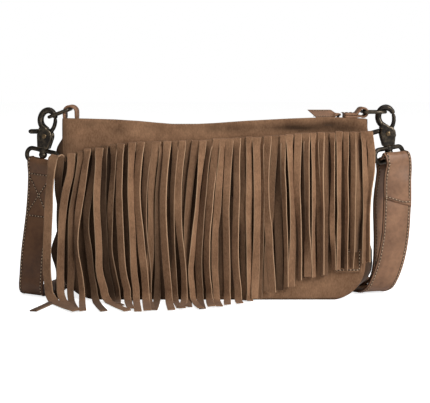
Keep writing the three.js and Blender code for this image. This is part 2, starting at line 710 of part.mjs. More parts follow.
// Trigger: the hub on the pin, the gate that closes the hook, the heel over the spring and the thumb lever.
function triggerBody() {
  const { pivot } = CHEEK;
  const half = TRIGGER_THICKNESS / 2;
  const tip = HOOK_EYE.centre + HOOK_EYE.radiusZ * Math.sin(rad(HOOK_EYE.nose)) - 2.4;
  const gate = flatBar([
    [2, pivot + 2, 2, half],
    [4.6, pivot + 5.2, 1.9, half],
    [6.6, pivot + 8.6, 1.7, half],
    [7.6, pivot + 12, 1.6, 2.2],
    [7.9, pivot + 16, 1.5, 2.2],
    [7.4, tip, 1.2, 2],
  ]);
  const lever = flatBar([
    [-2, pivot + 2.6, 1.8, half],
    [-7.6, pivot + 3.5, 1.9, half],
    [-9, pivot + 3.3, 2, 2.8],
    [-THUMB_REACH + 1.6, pivot + 2, 2, 2.8],
    [-THUMB_REACH, pivot + 1.8, 1.1, 1.8],
  ]);
  const heel = flatBar([[1, pivot - 1, 3.4, half], [5, pivot - 2, 2.6, half], [8.2, pivot - 2.6, 1.2, half]]);
  const hub = pinAlongY(TRIGGER_HUB, -half, half, 0, pivot, 24);
  const hole = pinAlongY(PIN_RADIUS + SEAT_GAP, -10, 10, 0, pivot, 16);
  const pocket = pinAlongY(SPRING.pocket, 0.2, 10, 0, pivot, 20);
  return cut(join([hub, gate, lever, heel]), [hole, pocket]);
}

// Torsion spring: two turns of wire in the trigger's pocket.
function springBody() {
  const { turns, pitch, wire, radius } = SPRING;
  const steps = 22;
  const rings = [];
  for (let i = 0; i <= steps; i += 1) {
    const angle = (i / steps) * turns * Math.PI * 2;
    const outward = vec(Math.cos(angle), 0, Math.sin(angle));
    const centre = outward.clone().multiplyScalar(radius);
    centre.y = 0.5 + (i / steps) * turns * pitch;
    rings.push(ovalRing(centre, outward, ACROSS, wire, wire, 5));
  }
  const spring = skinRings(rings);
  spring.translate(0, 0, CHEEK.pivot);
  return spring;
}

// Rivet: a shank through both cheeks with a low domed head on each side.
function rivetBody() {
  const reach = HALF_HOOK + SEAT_GAP;
  const pieces = [pinAlongY(PIN_RADIUS, -reach - 0.5, reach + 0.5, 0, 0, 16)];
  for (const side of [1, -1]) {
    const dome = [[0, 0], [PIN_HEAD, 0], [PIN_HEAD * 0.9, 0.6], [PIN_HEAD * 0.55, 1.1], [0, 1.3]];
    const head = new THREE.LatheGeometry(dome.map(([r, h]) => new THREE.Vector2(r, h)), 18);
    if (side < 0) {
      head.rotateX(Math.PI);
    }
    head.translate(0, side * reach, 0);
    pieces.push(head);
  }
  const rivet = join(pieces);
  rivet.translate(0, 0, CHEEK.pivot);
  return rivet;
}

// Swivel eye: an oval loop of round bar for the strap, with a bored boss for the hook's post.
function eyeBody() {
  const high = EYE.height - EYE.wire;
  const bend = high / 2;
  const straight = (EYE.width - EYE.wire) / 2 - bend;
  const points = [];
  for (const side of [1, -1]) {
    for (let k = 0; k <= 8; k += 1) {
      const angle = rad(90 - k * 22.5);
      points.push(vec(side * (straight + bend * Math.cos(angle)), 0, -bend + side * bend * Math.sin(angle)));
    }
  }
  const loop = wireLoop(points, ACROSS, EYE.wire / 2, 8);
  const boss = new THREE.CylinderGeometry(BOSS.radius, BOSS.radius, BOSS.height, 20);
  boss.rotateX(Math.PI / 2);
  const bore = new THREE.CylinderGeometry(POST_RADIUS + SEAT_GAP, POST_RADIUS + SEAT_GAP, 4 * BOSS.height, 16);
  bore.rotateX(Math.PI / 2);
  return cut(join([loop, boss]), [bore]);
}

// Places a snap hook or its eye: the swivel axis leans, and each turns about it by its own angle.
function snapMatrix(side, turn) {
  const { drop, tilt } = SNAP[side];
  const sign = side === 'left' ? -1 : 1;
  const place = new THREE.Matrix4().makeTranslation(sign * (HALF_LENGTH + SNAP_OUT), 0, BODY_HEIGHT - drop);
  place.multiply(new THREE.Matrix4().makeRotationY(rad(tilt)));
  return place.multiply(new THREE.Matrix4().makeRotationZ(rad(turn)));
}

// The lower bar of an eye: its middle, and the directions along it, forward and up.
function eyeBar(side) {
  const matrix = snapMatrix(side, SNAP[side].eyeTurn);
  const middle = vec(0, 0, -(EYE.height - EYE.wire)).applyMatrix4(matrix);
  const along = vec(1, 0, 0).transformDirection(matrix);
  const forward = vec(0, -1, 0).transformDirection(matrix);
  const up = vec(0, 0, 1).transformDirection(matrix);
  return { middle, along, forward, up };
}

// Height of the strap's middle where it lies on the floor, turned about its length by an angle.
const lyingHeight = (turn) => (STRAP_WIDTH / 2) * Math.sin(turn) + (STRAP_THICKNESS / 2) * Math.cos(turn);

// A strap station near an eye, given by how far it is in front of the eye's bar and above it.
function nearEye(bar, forward, up) {
  const centre = bar.middle.clone().addScaledVector(bar.forward, forward).addScaledVector(bar.up, up);
  return { centre, wide: bar.along };
}

// A strap station on the floor: its place, the level way across it, and how far it is turned up on edge.
function onFloor(x, y, across, turnDegrees, lift = 0) {
  const turn = rad(turnDegrees);
  const level = across.clone().setZ(0).normalize();
  const wide = level.multiplyScalar(Math.cos(turn)).addScaledVector(UP, Math.sin(turn));
  return { centre: vec(x, y, lyingHeight(turn) + FLOOR_CLEARANCE + lift), wide };
}

// Sweeps the strap's flat section through its stations.
function strapBody(stations, steps, cutStart = 0, cutEnd = 0) {
  const path = new THREE.CatmullRomCurve3(stations.map((s) => s.centre), false, 'centripetal');
  const ways = new THREE.CatmullRomCurve3(stations.map((s) => s.wide), false, 'catmullrom', 0.5);
  const rings = [];
  const total = (stations.length - 1) * steps;
  for (let i = 0; i <= total; i += 1) {
    const t = i / total;
    const along = path.getTangent(t);
    const wide = ways.getPoint(t);
    wide.addScaledVector(along, -wide.dot(along)).normalize();
    const thick = along.clone().cross(wide);
    const slant = (i === 0 ? cutStart : 0) + (i === total ? cutEnd : 0);
    const centre = path.getPoint(t);
    rings.push([[1, 1], [-1, 1], [-1, -1], [1, -1]].map(([a, b]) => (
      centre.clone()
        .addScaledVector(wide, (a * STRAP_WIDTH) / 2)
        .addScaledVector(thick, (b * STRAP_THICKNESS) / 2)
        .addScaledVector(along, (a * slant * STRAP_WIDTH) / 2)
    )));
  }
  return skinRings(rings);
}

// Level way across the strap where it hangs from an eye
const wayAt = (side) => vec(Math.cos(rad(SNAP[side].eyeTurn)), Math.sin(rad(SNAP[side].eyeTurn)), 0);
const LEFT_WAY = wayAt('left');
const RIGHT_WAY = wayAt('right');

// Front leg of the right side, from the seam down to the floor.
function rightFrontLeg() {
  const side = HALF_LENGTH;
  return {
    upper: { centre: vec(side + 24.5, -13, SEAM_HEIGHT + 22), wide: RIGHT_WAY },
    seam: { centre: vec(side + 23.5, -13, SEAM_HEIGHT), wide: RIGHT_WAY },
    lower: [
      { centre: vec(side + 22, -12.5, 62), wide: RIGHT_WAY },
      { centre: vec(side + 20, -11.5, 36), wide: RIGHT_WAY },
      { centre: vec(side + 17.5, -9, 20), wide: RIGHT_WAY },
      { centre: vec(side + 14.5, -5, 9.5), wide: RIGHT_WAY },
      { centre: vec(side + 10.5, 1.5, 4), wide: RIGHT_WAY },
      onFloor(side + 3, 12.5, RIGHT_WAY, 0),
      onFloor(side - 4, 25, RIGHT_WAY, 0),
      onFloor(side - 9, 33, RIGHT_WAY, 0),
    ],
  };
}

// Left leg: the end sewn back on itself round the eye's bar, and the strap down to the floor.
function leftLegStations() {
  const bar = eyeBar('left');
  const side = -HALF_LENGTH;
  const layer = (STRAP_THICKNESS + SEAT_GAP) / 2;
  const wrap = EYE.wire / 2 + WRAP_GAP + STRAP_THICKNESS / 2;
  const stations = [nearEye(bar, -layer, -FOLD_BACK), nearEye(bar, -layer, -FOLD_NECK)];
  const steps = 6;
  for (let k = 0; k <= steps; k += 1) {
    const angle = Math.PI * (1 - k / steps);
    stations.push(nearEye(bar, wrap * Math.cos(angle), wrap * Math.sin(angle)));
  }
  stations.push(nearEye(bar, layer, -FOLD_NECK), nearEye(bar, layer, -FOLD_BACK));
  const leg = [[side - 29, -6.5, 46], [side - 31, -6.5, 22], [side - 30.3, -4.8, 10.5], [side - 27.8, 0, 4]];
  for (const [x, y, z] of leg) {
    stations.push({ centre: vec(x, y, z), wide: LEFT_WAY });
  }
  return stations;
}

// The length put away behind the bag: it turns up on its edge, lies in three runs and turns down again.
function storedStations() {
  const side = HALF_LENGTH;
  const behind = HALF_BASE;
  const onEdge = vec(0, -1, 0);
  const laid = [
    [-side - 22.5, 10.5, LEFT_WAY, 0],
    [-side - 15, 26, LEFT_WAY, 0, TWIST_LIFT],
    [-side - 8, 40, vec(0.95, -0.3, 0), 20],
    [-side + 6, 53, vec(0.7, -0.7, 0), 60],
    [-side + 30, behind + 31, onEdge, 90],
    [-side / 2, behind + 31, onEdge, 90],
    [0, behind + 30, onEdge, 90],
    [side / 2, behind + 31, onEdge, 90],
    [side - 48, behind + 33, onEdge, 90],
    [side - 38, behind + 43, onEdge, 90],
    [side - 48, behind + 53, onEdge, 90],
    [side / 2, behind + 55, onEdge, 90],
    [-side / 2, behind + 55, onEdge, 90],
    [-side + 48, behind + 57, onEdge, 90],
    [-side + 38, behind + 67, onEdge, 90],
    [-side + 48, behind + 77, onEdge, 90],
    [-side / 2, behind + 79, onEdge, 90],
    [0, behind + 80, onEdge, 90],
    [side / 2, behind + 78, onEdge, 90],
    [side - 35, behind + 72, onEdge, 90],
    [side - 16, behind + 58, vec(-0.7, -0.7, 0), 78],
    [side - 7, behind + 42, vec(-1, -0.5, 0), 50],
  ];
  return laid.map(([x, y, across, turn, lift = 0]) => onFloor(x, y, across, turn, lift));
}

// Right leg: up at the back over the tucked end, over the eye's bar and down in front to the seam.
function rightLegStations() {
  const bar = eyeBar('right');
  const side = HALF_LENGTH;
  const lift = STRAP_THICKNESS + SEAT_GAP;
  const back = RIGHT_WAY.clone().negate();
  const stations = [onFloor(side, 51, back, 22, lift), onFloor(side + 6, 39, back, 0, lift)];
  const leg = [
    [side + 12.5, 30, 4.6 + lift], [side + 17, 24.5, 12], [side + 20, 21.5, 24], [side + 21.5, 20, 50],
    [side + 20.5, 14.5, 95],
  ];
  for (const [x, y, z] of leg) {
    stations.push({ centre: vec(x, y, z), wide: back });
  }
  const wide = bar.along.clone().negate();
  const clear = EYE.wire / 2 + LAY_GAP + STRAP_THICKNESS / 2;
  const over = [
    [-clear, -8], [-clear, -1], [1 - clear, clear - 1.2], [0, clear], [2.6, clear + 0.7], [5.4, clear + 2.9],
    [8.4, clear + 4.2], [11.2, clear + 2.5], [12.4, clear - 1.2], [12.8, -4],
  ];
  for (const [forward, up] of over) {
    stations.push({ centre: nearEye(bar, forward, up).centre, wide });
  }
  const { upper, seam } = rightFrontLeg();
  stations.push({ centre: upper.centre, wide: back }, { centre: seam.centre, wide: back });
  return stations;
}

function mainStrapBody() {
  const stations = [...leftLegStations(), ...storedStations(), ...rightLegStations()];
  return strapBody(stations, 2, 0, -SEAM_SLOPE);
}

// Short end of the strap, from the slanted seam to where it is tucked under the main run.
function strapEndBody() {
  const leg = rightFrontLeg();
  const top = leg.seam.centre.clone();
  top.z -= SEAT_GAP;
  return strapBody([{ centre: top, wide: RIGHT_WAY }, ...leg.lower], 2, SEAM_SLOPE);
}

const SUEDE_FINISH = { color: 0x86705a, roughness: 0.95, metalness: 0 };
const DARK_SUEDE = { color: 0x6b553f, roughness: 0.95, metalness: 0 };
const STRAP_FINISH = { color: 0x8c6c54, roughness: 0.7, metalness: 0 };
const CLOTH = { color: 0x4a3728, roughness: 0.9, metalness: 0 };
const GUNMETAL = { color: 0x4b4538, roughness: 0.4, metalness: 1 };
const BRASS = { color: 0x9c7a4c, roughness: 0.35, metalness: 1 };
const STEEL = { color: 0x8c8a86, roughness: 0.3, metalness: 1 };

const bag = new THREE.Group();

function add(name, geometry, finish, matrix) {
  const mesh = new THREE.Mesh(geometry, new THREE.MeshStandardMaterial(finish));
  mesh.name = name;
  if (matrix) {
    matrix.decompose(mesh.position, mesh.quaternion, mesh.scale);
  }
  bag.add(mesh);
}

add('front_panel', panelBody(-1), SUEDE_FINISH);
add('back_panel', panelBody(1), SUEDE_FINISH);
add('gusset', gussetBody(), DARK_SUEDE);
add('fringe_band', bandBody(), SUEDE_FINISH);
add('fringe_front', fringeBody(FRONT_OUT, true, 0, 0), SUEDE_FINISH);
add('fringe_rear', fringeBody(REAR_OUT, false, 1, REAR_SHORTER), DARK_SUEDE);
add('blank_patch', patchBody(), SUEDE_FINISH);
add('zip_half_front', zipHalfBody(-1), CLOTH);
add('zip_half_back', zipHalfBody(1), CLOTH);
add('zip_slider', sliderBody(), GUNMETAL);
add('zip_puller', pullerBody(), GUNMETAL);
add('zip_pull_tab', pullTabBody(), STRAP_FINISH);
add('ring_loop_left', leftLoopBody(), STRAP_FINISH);
add('ring_loop_right', rightLoopBody(), STRAP_FINISH);

const ringPlace = ({ x, z }, turn) => (
  new THREE.Matrix4().makeTranslation(x, 0, z).multiply(new THREE.Matrix4().makeRotationY(turn))
);
add('d_ring_left', dRingBody(), GUNMETAL, ringPlace(LEFT_RING_PLACE, Math.PI - rad(LEFT_RING_DROOP)));
add('d_ring_right', dRingBody(), GUNMETAL, ringPlace(RIGHT_RING_PLACE, 0));

for (const side of ['left', 'right']) {
  const hookMatrix = snapMatrix(side, SNAP[side].hookTurn);
  add(`hook_${side}`, hookBody(), GUNMETAL, hookMatrix);
  add(`trigger_${side}`, triggerBody(), GUNMETAL, hookMatrix);
  add(`trigger_spring_${side}`, springBody(), STEEL, hookMatrix);
  add(`rivet_${side}`, rivetBody(), BRASS, hookMatrix);
  add(`swivel_eye_${side}`, eyeBody(), GUNMETAL, snapMatrix(side, SNAP[side].eyeTurn));
}

add('strap_main', mainStrapBody(), STRAP_FINISH);
add('strap_end', strapEndBody(), STRAP_FINISH);

export default bag;
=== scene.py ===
"""Looks of a fringed suede shoulder bag: it stands on a pale floor with its strap clipped on at both ends.

Sizes are in millimetres until a mesh is made. The frame is the part's own: X to the right, Y away from the
camera, Z up, with the floor at zero.
"""
from __future__ import annotations

import dataclasses
import enum
import logging
import math
from typing import Iterable, Sequence

import bmesh
import bpy
import numpy as np
from mathutils import Matrix, Vector

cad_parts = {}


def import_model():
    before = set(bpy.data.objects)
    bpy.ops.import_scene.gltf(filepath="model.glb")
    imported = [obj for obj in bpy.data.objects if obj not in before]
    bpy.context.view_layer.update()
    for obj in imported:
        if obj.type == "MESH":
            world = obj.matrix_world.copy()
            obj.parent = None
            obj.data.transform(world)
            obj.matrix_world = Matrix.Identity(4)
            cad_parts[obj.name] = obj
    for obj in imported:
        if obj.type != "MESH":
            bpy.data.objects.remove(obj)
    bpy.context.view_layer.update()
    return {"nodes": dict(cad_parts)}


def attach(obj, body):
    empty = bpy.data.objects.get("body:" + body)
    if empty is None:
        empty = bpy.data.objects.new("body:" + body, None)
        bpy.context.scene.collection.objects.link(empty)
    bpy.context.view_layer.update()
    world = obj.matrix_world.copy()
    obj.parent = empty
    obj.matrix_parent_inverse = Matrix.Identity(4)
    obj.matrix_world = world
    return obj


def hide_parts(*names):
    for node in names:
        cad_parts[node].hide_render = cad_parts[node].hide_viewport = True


LOG = logging.getLogger("bag")
MM = 0.001
X_AXIS = np.array([1.0, 0.0, 0.0])
ACROSS = np.array([0.0, 1.0, 0.0])
UP = np.array([0.0, 0.0, 1.0])
Array = np.ndarray
Colour = tuple[int, int, int]
Socket = bpy.types.NodeSocket


# ---------------------------------------------------------------- sizes


@dataclasses.dataclass(frozen=True)
class BodySizes:
    """Sizes of the bag's shell, as in the part's source."""

    length: float = 310.0
    height: float = 182.0
    base_depth: float = 52.0
    top_depth: float = 18.0
    corner: float = 36.0
    narrowing: float = 1.5
    belly: float = 3.0
    suede: float = 1.8
    gap: float = 0.3
    recess: float = 8.0
    rolled_edge: float = 5.0


@dataclasses.dataclass(frozen=True)
class FringeSizes:
    """Sizes of the fringe and of the band that it hangs over."""

    band_drop: float = 57.0
    band_thickness: float = 1.5
    strand_thickness: float = 1.4
    layer_step: float = 1.75
    first_layer: float = 2.7
    half: float = 151.0
    step: float = 4.0
    floor_turn: float = 12.0


@dataclasses.dataclass(frozen=True)
class StrapSizes:
    """Sizes of the strap, the stitches on it and how it passes the eyes."""

    width: float = 30.0
    thickness: float = 2.4
    round: float = 0.75
    gap: float = 0.3
    fold_back: float = 50.0
    fold_neck: float = 16.0
    wrap_gap: float = 0.55
    lay_gap: float = 0.5
    seam_height: float = 97.5
    seam_slope: float = math.tan(math.radians(20.0))
    floor_clearance: float = 0.5
    twist_lift: float = 0.9
    stitch_inset: float = 2.5
    stitch_floor: float = 0.85


@dataclasses.dataclass(frozen=True)
class SnapPlace:
    """Where a snap hook's swivel stands and how its parts are turned, in degrees."""

    sign: int
    drop: float
    tilt: float
    hook_turn: float
    eye_turn: float
    out: float = 19.0


@dataclasses.dataclass(frozen=True)
class EyeSizes:
    """Sizes of a swivel eye and of the boss that carries the hook's post."""

    width: float = 44.0
    height: float = 17.0
    wire: float = 4.0
    boss_radius: float = 4.0
    boss_height: float = 5.5
    bore: float = 2.3


BODY = BodySizes()
FRINGE = FringeSizes()
STRAP = StrapSizes()
EYE = EyeSizes()
SNAPS = {
    "left": SnapPlace(sign=-1, drop=33.6, tilt=9.5, hook_turn=-10.0, eye_turn=-27.0),
    "right": SnapPlace(sign=1, drop=31.1, tilt=-6.0, hook_turn=0.0, eye_turn=36.0),
}
HALF_LENGTH = BODY.length / 2


# ---------------------------------------------------------------- finishes


class Slot(enum.Enum):
    """Material slots."""

    SUEDE = "suede"
    # the bag's suede, darkened as painted shade
    DARK_SUEDE = "dark_suede"
    STRAP = "strap_leather"
    ZIP_CLOTH = "zip_cloth"
    GUNMETAL = "gunmetal"
    BRASS = "rivet_brass"
    STEEL = "spring_steel"


@dataclasses.dataclass(frozen=True)
class Finish:
    """A procedural material: two tones that one of the shader effects blends.

    Attributes:
        name: the material's name.
        effect: the effect that gives the tone, the height and, if it has one, the roughness.
        light: the tone where the effect is high.
        dark: the tone where it is low.
        roughness: the range over which the effect moves it; only the first counts where the effect has none.
        bump: strength, and distance in metres.
        plain: further inputs of the shader.
        edge: the tone of cut edges, for hides; on suede it is paler, partly their own colour and partly a painted
            highlight.
        edge_weight: how plainly cut edges show.
        warmth: how much more green and blue fall off than red where a hide is shaded.
        pitch: distance between threads, for weaves.
    """

    name: str
    effect: str
    light: Colour
    dark: Colour
    roughness: tuple[float, float]
    bump: tuple[float, float]
    plain: dict[str, float] = dataclasses.field(default_factory=dict)
    edge: Colour | None = None
    edge_weight: float = 0.0
    warmth: tuple[float, float] = (0.0, 0.0)
    pitch: float | None = None


NAPPED = {
    "effect": "nap",
    "roughness": (0.95, 0.95),
    "bump": (0.5, 0.0005),
    "plain": {"Specular IOR Level": 0.15, "Sheen Weight": 0.08, "Sheen Roughness": 0.45},
    "edge_weight": 0.62,
}
SMOOTH = {
    "effect": "grain",
    "roughness": (0.42, 0.6),
    "bump": (0.35, 0.0003),
    "plain": {"Specular IOR Level": 0.35, "Coat Weight": 0.12, "Coat Roughness": 0.35},
    "edge_weight": 0.75,
    "warmth": (0.3, 0.8),
}
WOVEN = {"effect": "weave", "bump": (0.4, 0.0003)}
PLATED = {"effect": "rubbing", "bump": (0.25, 0.0002), "plain": {"Metallic": 1.0}}

# Suede's pale edge tone is partly the cut edges' own colour and partly a painted highlight.
SUEDE = Finish("suede", light=(158, 121, 92), dark=(96, 68, 48), edge=(198, 162, 129), **NAPPED)
# The bag's suede darkened as painted shade, for the side strip.
DARK_SUEDE = Finish("gusset_suede_painted_shade", light=(84, 62, 45), dark=(52, 37, 26), edge=(110, 84, 63), **NAPPED)
LEATHER = Finish("strap_leather", light=(148, 109, 81), dark=(102, 71, 50), edge=(76, 50, 34), **SMOOTH)
THREAD = Finish("thread", light=(206, 176, 143), dark=(164, 133, 103), roughness=(0.6, 0.6), pitch=0.5, **WOVEN)
HOLES = Finish("needle_holes", light=(52, 34, 24), dark=(34, 22, 15), roughness=(0.85, 0.85), pitch=0.5, **WOVEN)
TAPE = Finish("zip_tape", light=(84, 64, 49), dark=(48, 36, 27), roughness=(0.85, 0.85), pitch=0.7, **WOVEN)
GUNMETAL = Finish("gunmetal", light=(134, 119, 98), dark=(58, 54, 50), roughness=(0.46, 0.32), **PLATED)
BRASS = Finish("rivet_brass", light=(156, 133, 102), dark=(108, 90, 68), roughness=(0.42, 0.3), **PLATED)
STEEL = Finish("spring_steel", light=(180, 178, 172), dark=(120, 118, 114), roughness=(0.35, 0.25), **PLATED)


def linear(colour: Sequence[float]) -> tuple[float, float, float, float]:
    """Turns an 8-bit screen colour into the linear colour that shaders take.

    Args:
        colour: red, green and blue, from 0 to 255.

    Returns:
        The linear colour with an alpha of one.
    """
    shares = [channel / 255 for channel in colour]
    parts = [s / 12.92 if s <= 0.04045 else ((s + 0.055) / 1.055) ** 2.4 for s in shares]
    return (*parts, 1.0)


# ---------------------------------------------------------------- node trees


class Graph:
    """Adds nodes to a tree and joins their sockets."""

    def __init__(self, tree: bpy.types.NodeTree) -> None:
        """Works on one tree."""
        self.tree = tree

    def add(self, kind: str, inputs: dict | None = None, **settings: object) -> bpy.types.Node:
        """Adds a node.

        Args:
            kind: the node's type name.
            inputs: socket name or index, and the value or output socket that feeds it.
            settings: properties of the node itself.

        Returns:
            The new node.
        """
        node = self.tree.nodes.new(kind)
        for key, value in settings.items():
            setattr(node, key, value)
        for key, value in (inputs or {}).items():
            self.feed(node.inputs[key], value)
        return node

    def feed(self, socket: Socket, value: object) -> None:
        """Links an output into a socket, or sets the socket's own value."""
        if isinstance(value, Socket):
            self.tree.links.new(value, socket)
        else:
            socket.default_value = value

    def math(self, operation: str, first: Socket | float, second: Socket | float = 0.0) -> Socket:
        """Adds a scalar operation and returns its result."""
        return self.add("ShaderNodeMath", {0: first, 1: second}, operation=operation).outputs[0]

    def total(self, *parts: tuple) -> Socket:
        """Adds up sockets, each with its weight."""
        result = None
        for socket, weight in parts:
            part = self.math("MULTIPLY", socket, weight)
            result = part if result is None else self.math("ADD", result, part)
        return result

    def noise(self, vector: Socket, scale: float, detail: float, roughness: float = 0.5) -> Socket:
        """Adds a noise texture and returns its value."""
        inputs = {"Vector": vector, "Scale": scale, "Detail": detail, "Roughness": roughness}
        return self.add("ShaderNodeTexNoise", inputs).outputs[0]

    def mix_colour(self, factor: Socket | float, first: Socket | tuple, second: Socket | tuple,
                   blend: str = "MIX") -> Socket:
        """Mixes two colours and returns the result."""
        inputs = {0: factor, 6: first, 7: second}
        return self.add("ShaderNodeMix", inputs, data_type="RGBA", blend_type=blend).outputs[2]

    def span(self, value: Socket, low: float, high: float, to_low: float = 0.0, to_high: float = 1.0) -> Socket:
        """Maps a value from one range to another, and keeps it inside."""
        inputs = {0: value, 1: low, 2: high, 3: to_low, 4: to_high}
        return self.add("ShaderNodeMapRange", inputs, clamp=True).outputs[0]

    def attribute(self, name: str) -> Socket:
        """Reads a value that a mesh stores for each point."""
        return self.add("ShaderNodeAttribute", attribute_name=name).outputs["Fac"]


def new_group(name: str, kind: str, outputs: dict[str, str], inputs: dict[str, str] | None = None) -> tuple:
    """Makes an empty node group with its interface.

    Args:
        name: the group's name.
        kind: the tree type.
        outputs: socket names and types.
        inputs: socket names and types.

    Returns:
        The tree, its input node, its output node and a Graph on it.
    """
    tree = bpy.data.node_groups.new(name, kind)
    for socket, socket_type in (inputs or {}).items():
        tree.interface.new_socket(name=socket, in_out="INPUT", socket_type=socket_type)
    for socket, socket_type in outputs.items():
        tree.interface.new_socket(name=socket, in_out="OUTPUT", socket_type=socket_type)
    graph = Graph(tree)
    return tree, graph.add("NodeGroupInput"), graph.add("NodeGroupOutput"), graph


class Effects:
    """The effects that several materials share, each as one node group.

    Noises are given as scale, detail and, where it isn't a half, roughness. WAVE_SCALE gives a wave texture a
    pitch of one millimetre.
    """

    STROKES, MOTTLING, FIBRES = (28.0, 3.0), (150.0, 4.0, 0.6), (800.0, 4.0, 0.7)
    NAP_STRETCH, SCRATCH_STRETCH = 0.45, 0.1
    GRAIN_CELLS, GRAIN_TONE, GRAIN_CREASE = 1100.0, (45.0, 4.0), (260.0, 5.0, 0.6)
    BLOTCHES, SCRATCHES = (240.0, 4.0, 0.6), (2600.0, 2.0)
    WAVE_SCALE, FUZZ = 1000.0 / 6.2832, (1800.0, 2.0)

    def __init__(self) -> None:
        """Makes the groups."""
        self.groups = {"nap": self._nap(), "grain": self._grain(), "rubbing": self._rubbing(), "weave": self._weave()}

    @staticmethod
    def _begin(name: str, *more: str, inputs: dict | None = None) -> tuple:
        """Starts a group that gives Tone, Height and more; returns it with its nodes and the place read."""
        outputs = {socket: "NodeSocketFloat" for socket in ("Tone", "Height", *more)}
        tree, given, result, graph = new_group(name, "ShaderNodeTree", outputs, inputs)
        return tree, given.outputs, result.inputs, graph, graph.add("ShaderNodeTexCoord").outputs["Object"]

    @staticmethod
    def _stretched(graph: Graph, place: Socket, share: float) -> Socket:
        """Stretches a pattern along the height."""
        return graph.add("ShaderNodeMapping", {"Vector": place, "Scale": (1.0, 1.0, share)}).outputs[0]

    def _nap(self) -> bpy.types.NodeTree:
        """Brushed nap: broad strokes, mottling and fine fibres."""
        tree, _, result, graph, place = self._begin("Nap")
        strokes = graph.noise(place, *self.STROKES)
        mottling = graph.noise(place, *self.MOTTLING)
        fibres = graph.noise(self._stretched(graph, place, self.NAP_STRETCH), *self.FIBRES)
        broad, middle = graph.span(strokes, 0.35, 0.65), graph.span(mottling, 0.3, 0.7)
        fine = graph.span(fibres, 0.34, 0.66)
        graph.feed(result["Tone"], graph.total((broad, 0.38), (middle, 0.2), (fine, 0.42)))
        graph.feed(result["Height"], graph.total((mottling, 0.6), (fibres, 0.7)))
        return tree

    def _grain(self) -> bpy.types.NodeTree:
        """Fine leather grain: cells, creases and a soft change of tone."""
        tree, _, result, graph, place = self._begin("Grain", "Rough")
        cells = graph.add("ShaderNodeTexVoronoi", {"Vector": place, "Scale": self.GRAIN_CELLS}).outputs["Distance"]
        broad = graph.noise(place, *self.GRAIN_TONE)
        crease = graph.noise(place, *self.GRAIN_CREASE)
        graph.feed(result["Tone"], graph.span(graph.total((broad, 0.6), (crease, 0.4)), 0.32, 0.68))
        graph.feed(result["Rough"], graph.span(crease, 0.3, 0.7))
        graph.feed(result["Height"], graph.total((cells, 0.5), (crease, 0.8)))
        return tree

    def _rubbing(self) -> bpy.types.NodeTree:
        """Worn plating: bright where edges are rubbed, with blotches and fine scratches."""
        tree, _, result, graph, place = self._begin("Rubbing", "Rough")
        blotches = graph.noise(place, *self.BLOTCHES)
        scratches = graph.noise(self._stretched(graph, place, self.SCRATCH_STRETCH), *self.SCRATCHES)
        worn = graph.total((graph.attribute("wear"), 0.9), (graph.span(blotches, 0.45, 0.75, 0.0, 0.5), 1.0))
        worn = graph.math("MINIMUM", worn, 1.0)
        graph.feed(result["Tone"], worn)
        graph.feed(result["Rough"], worn)
        graph.feed(result["Height"], graph.total((blotches, 0.8), (scratches, 0.2)))
        return tree

    def _weave(self) -> bpy.types.NodeTree:
        """Threads that cross: two sets of waves, the one over the other."""
        tree, given, result, graph, place = self._begin("Weave", inputs={"Pitch": "NodeSocketFloat"})
        scale = graph.math("DIVIDE", self.WAVE_SCALE, given["Pitch"])
        inputs = {"Vector": place, "Scale": scale}
        waves = [graph.add("ShaderNodeTexWave", inputs, bands_direction=axis).outputs["Fac"] for axis in "XY"]
        crossing = graph.math("MULTIPLY", *waves)
        graph.feed(result["Tone"], graph.total((crossing, 1.0), (graph.noise(place, *self.FUZZ), 0.3)))
        graph.feed(result["Height"], crossing)
        return tree


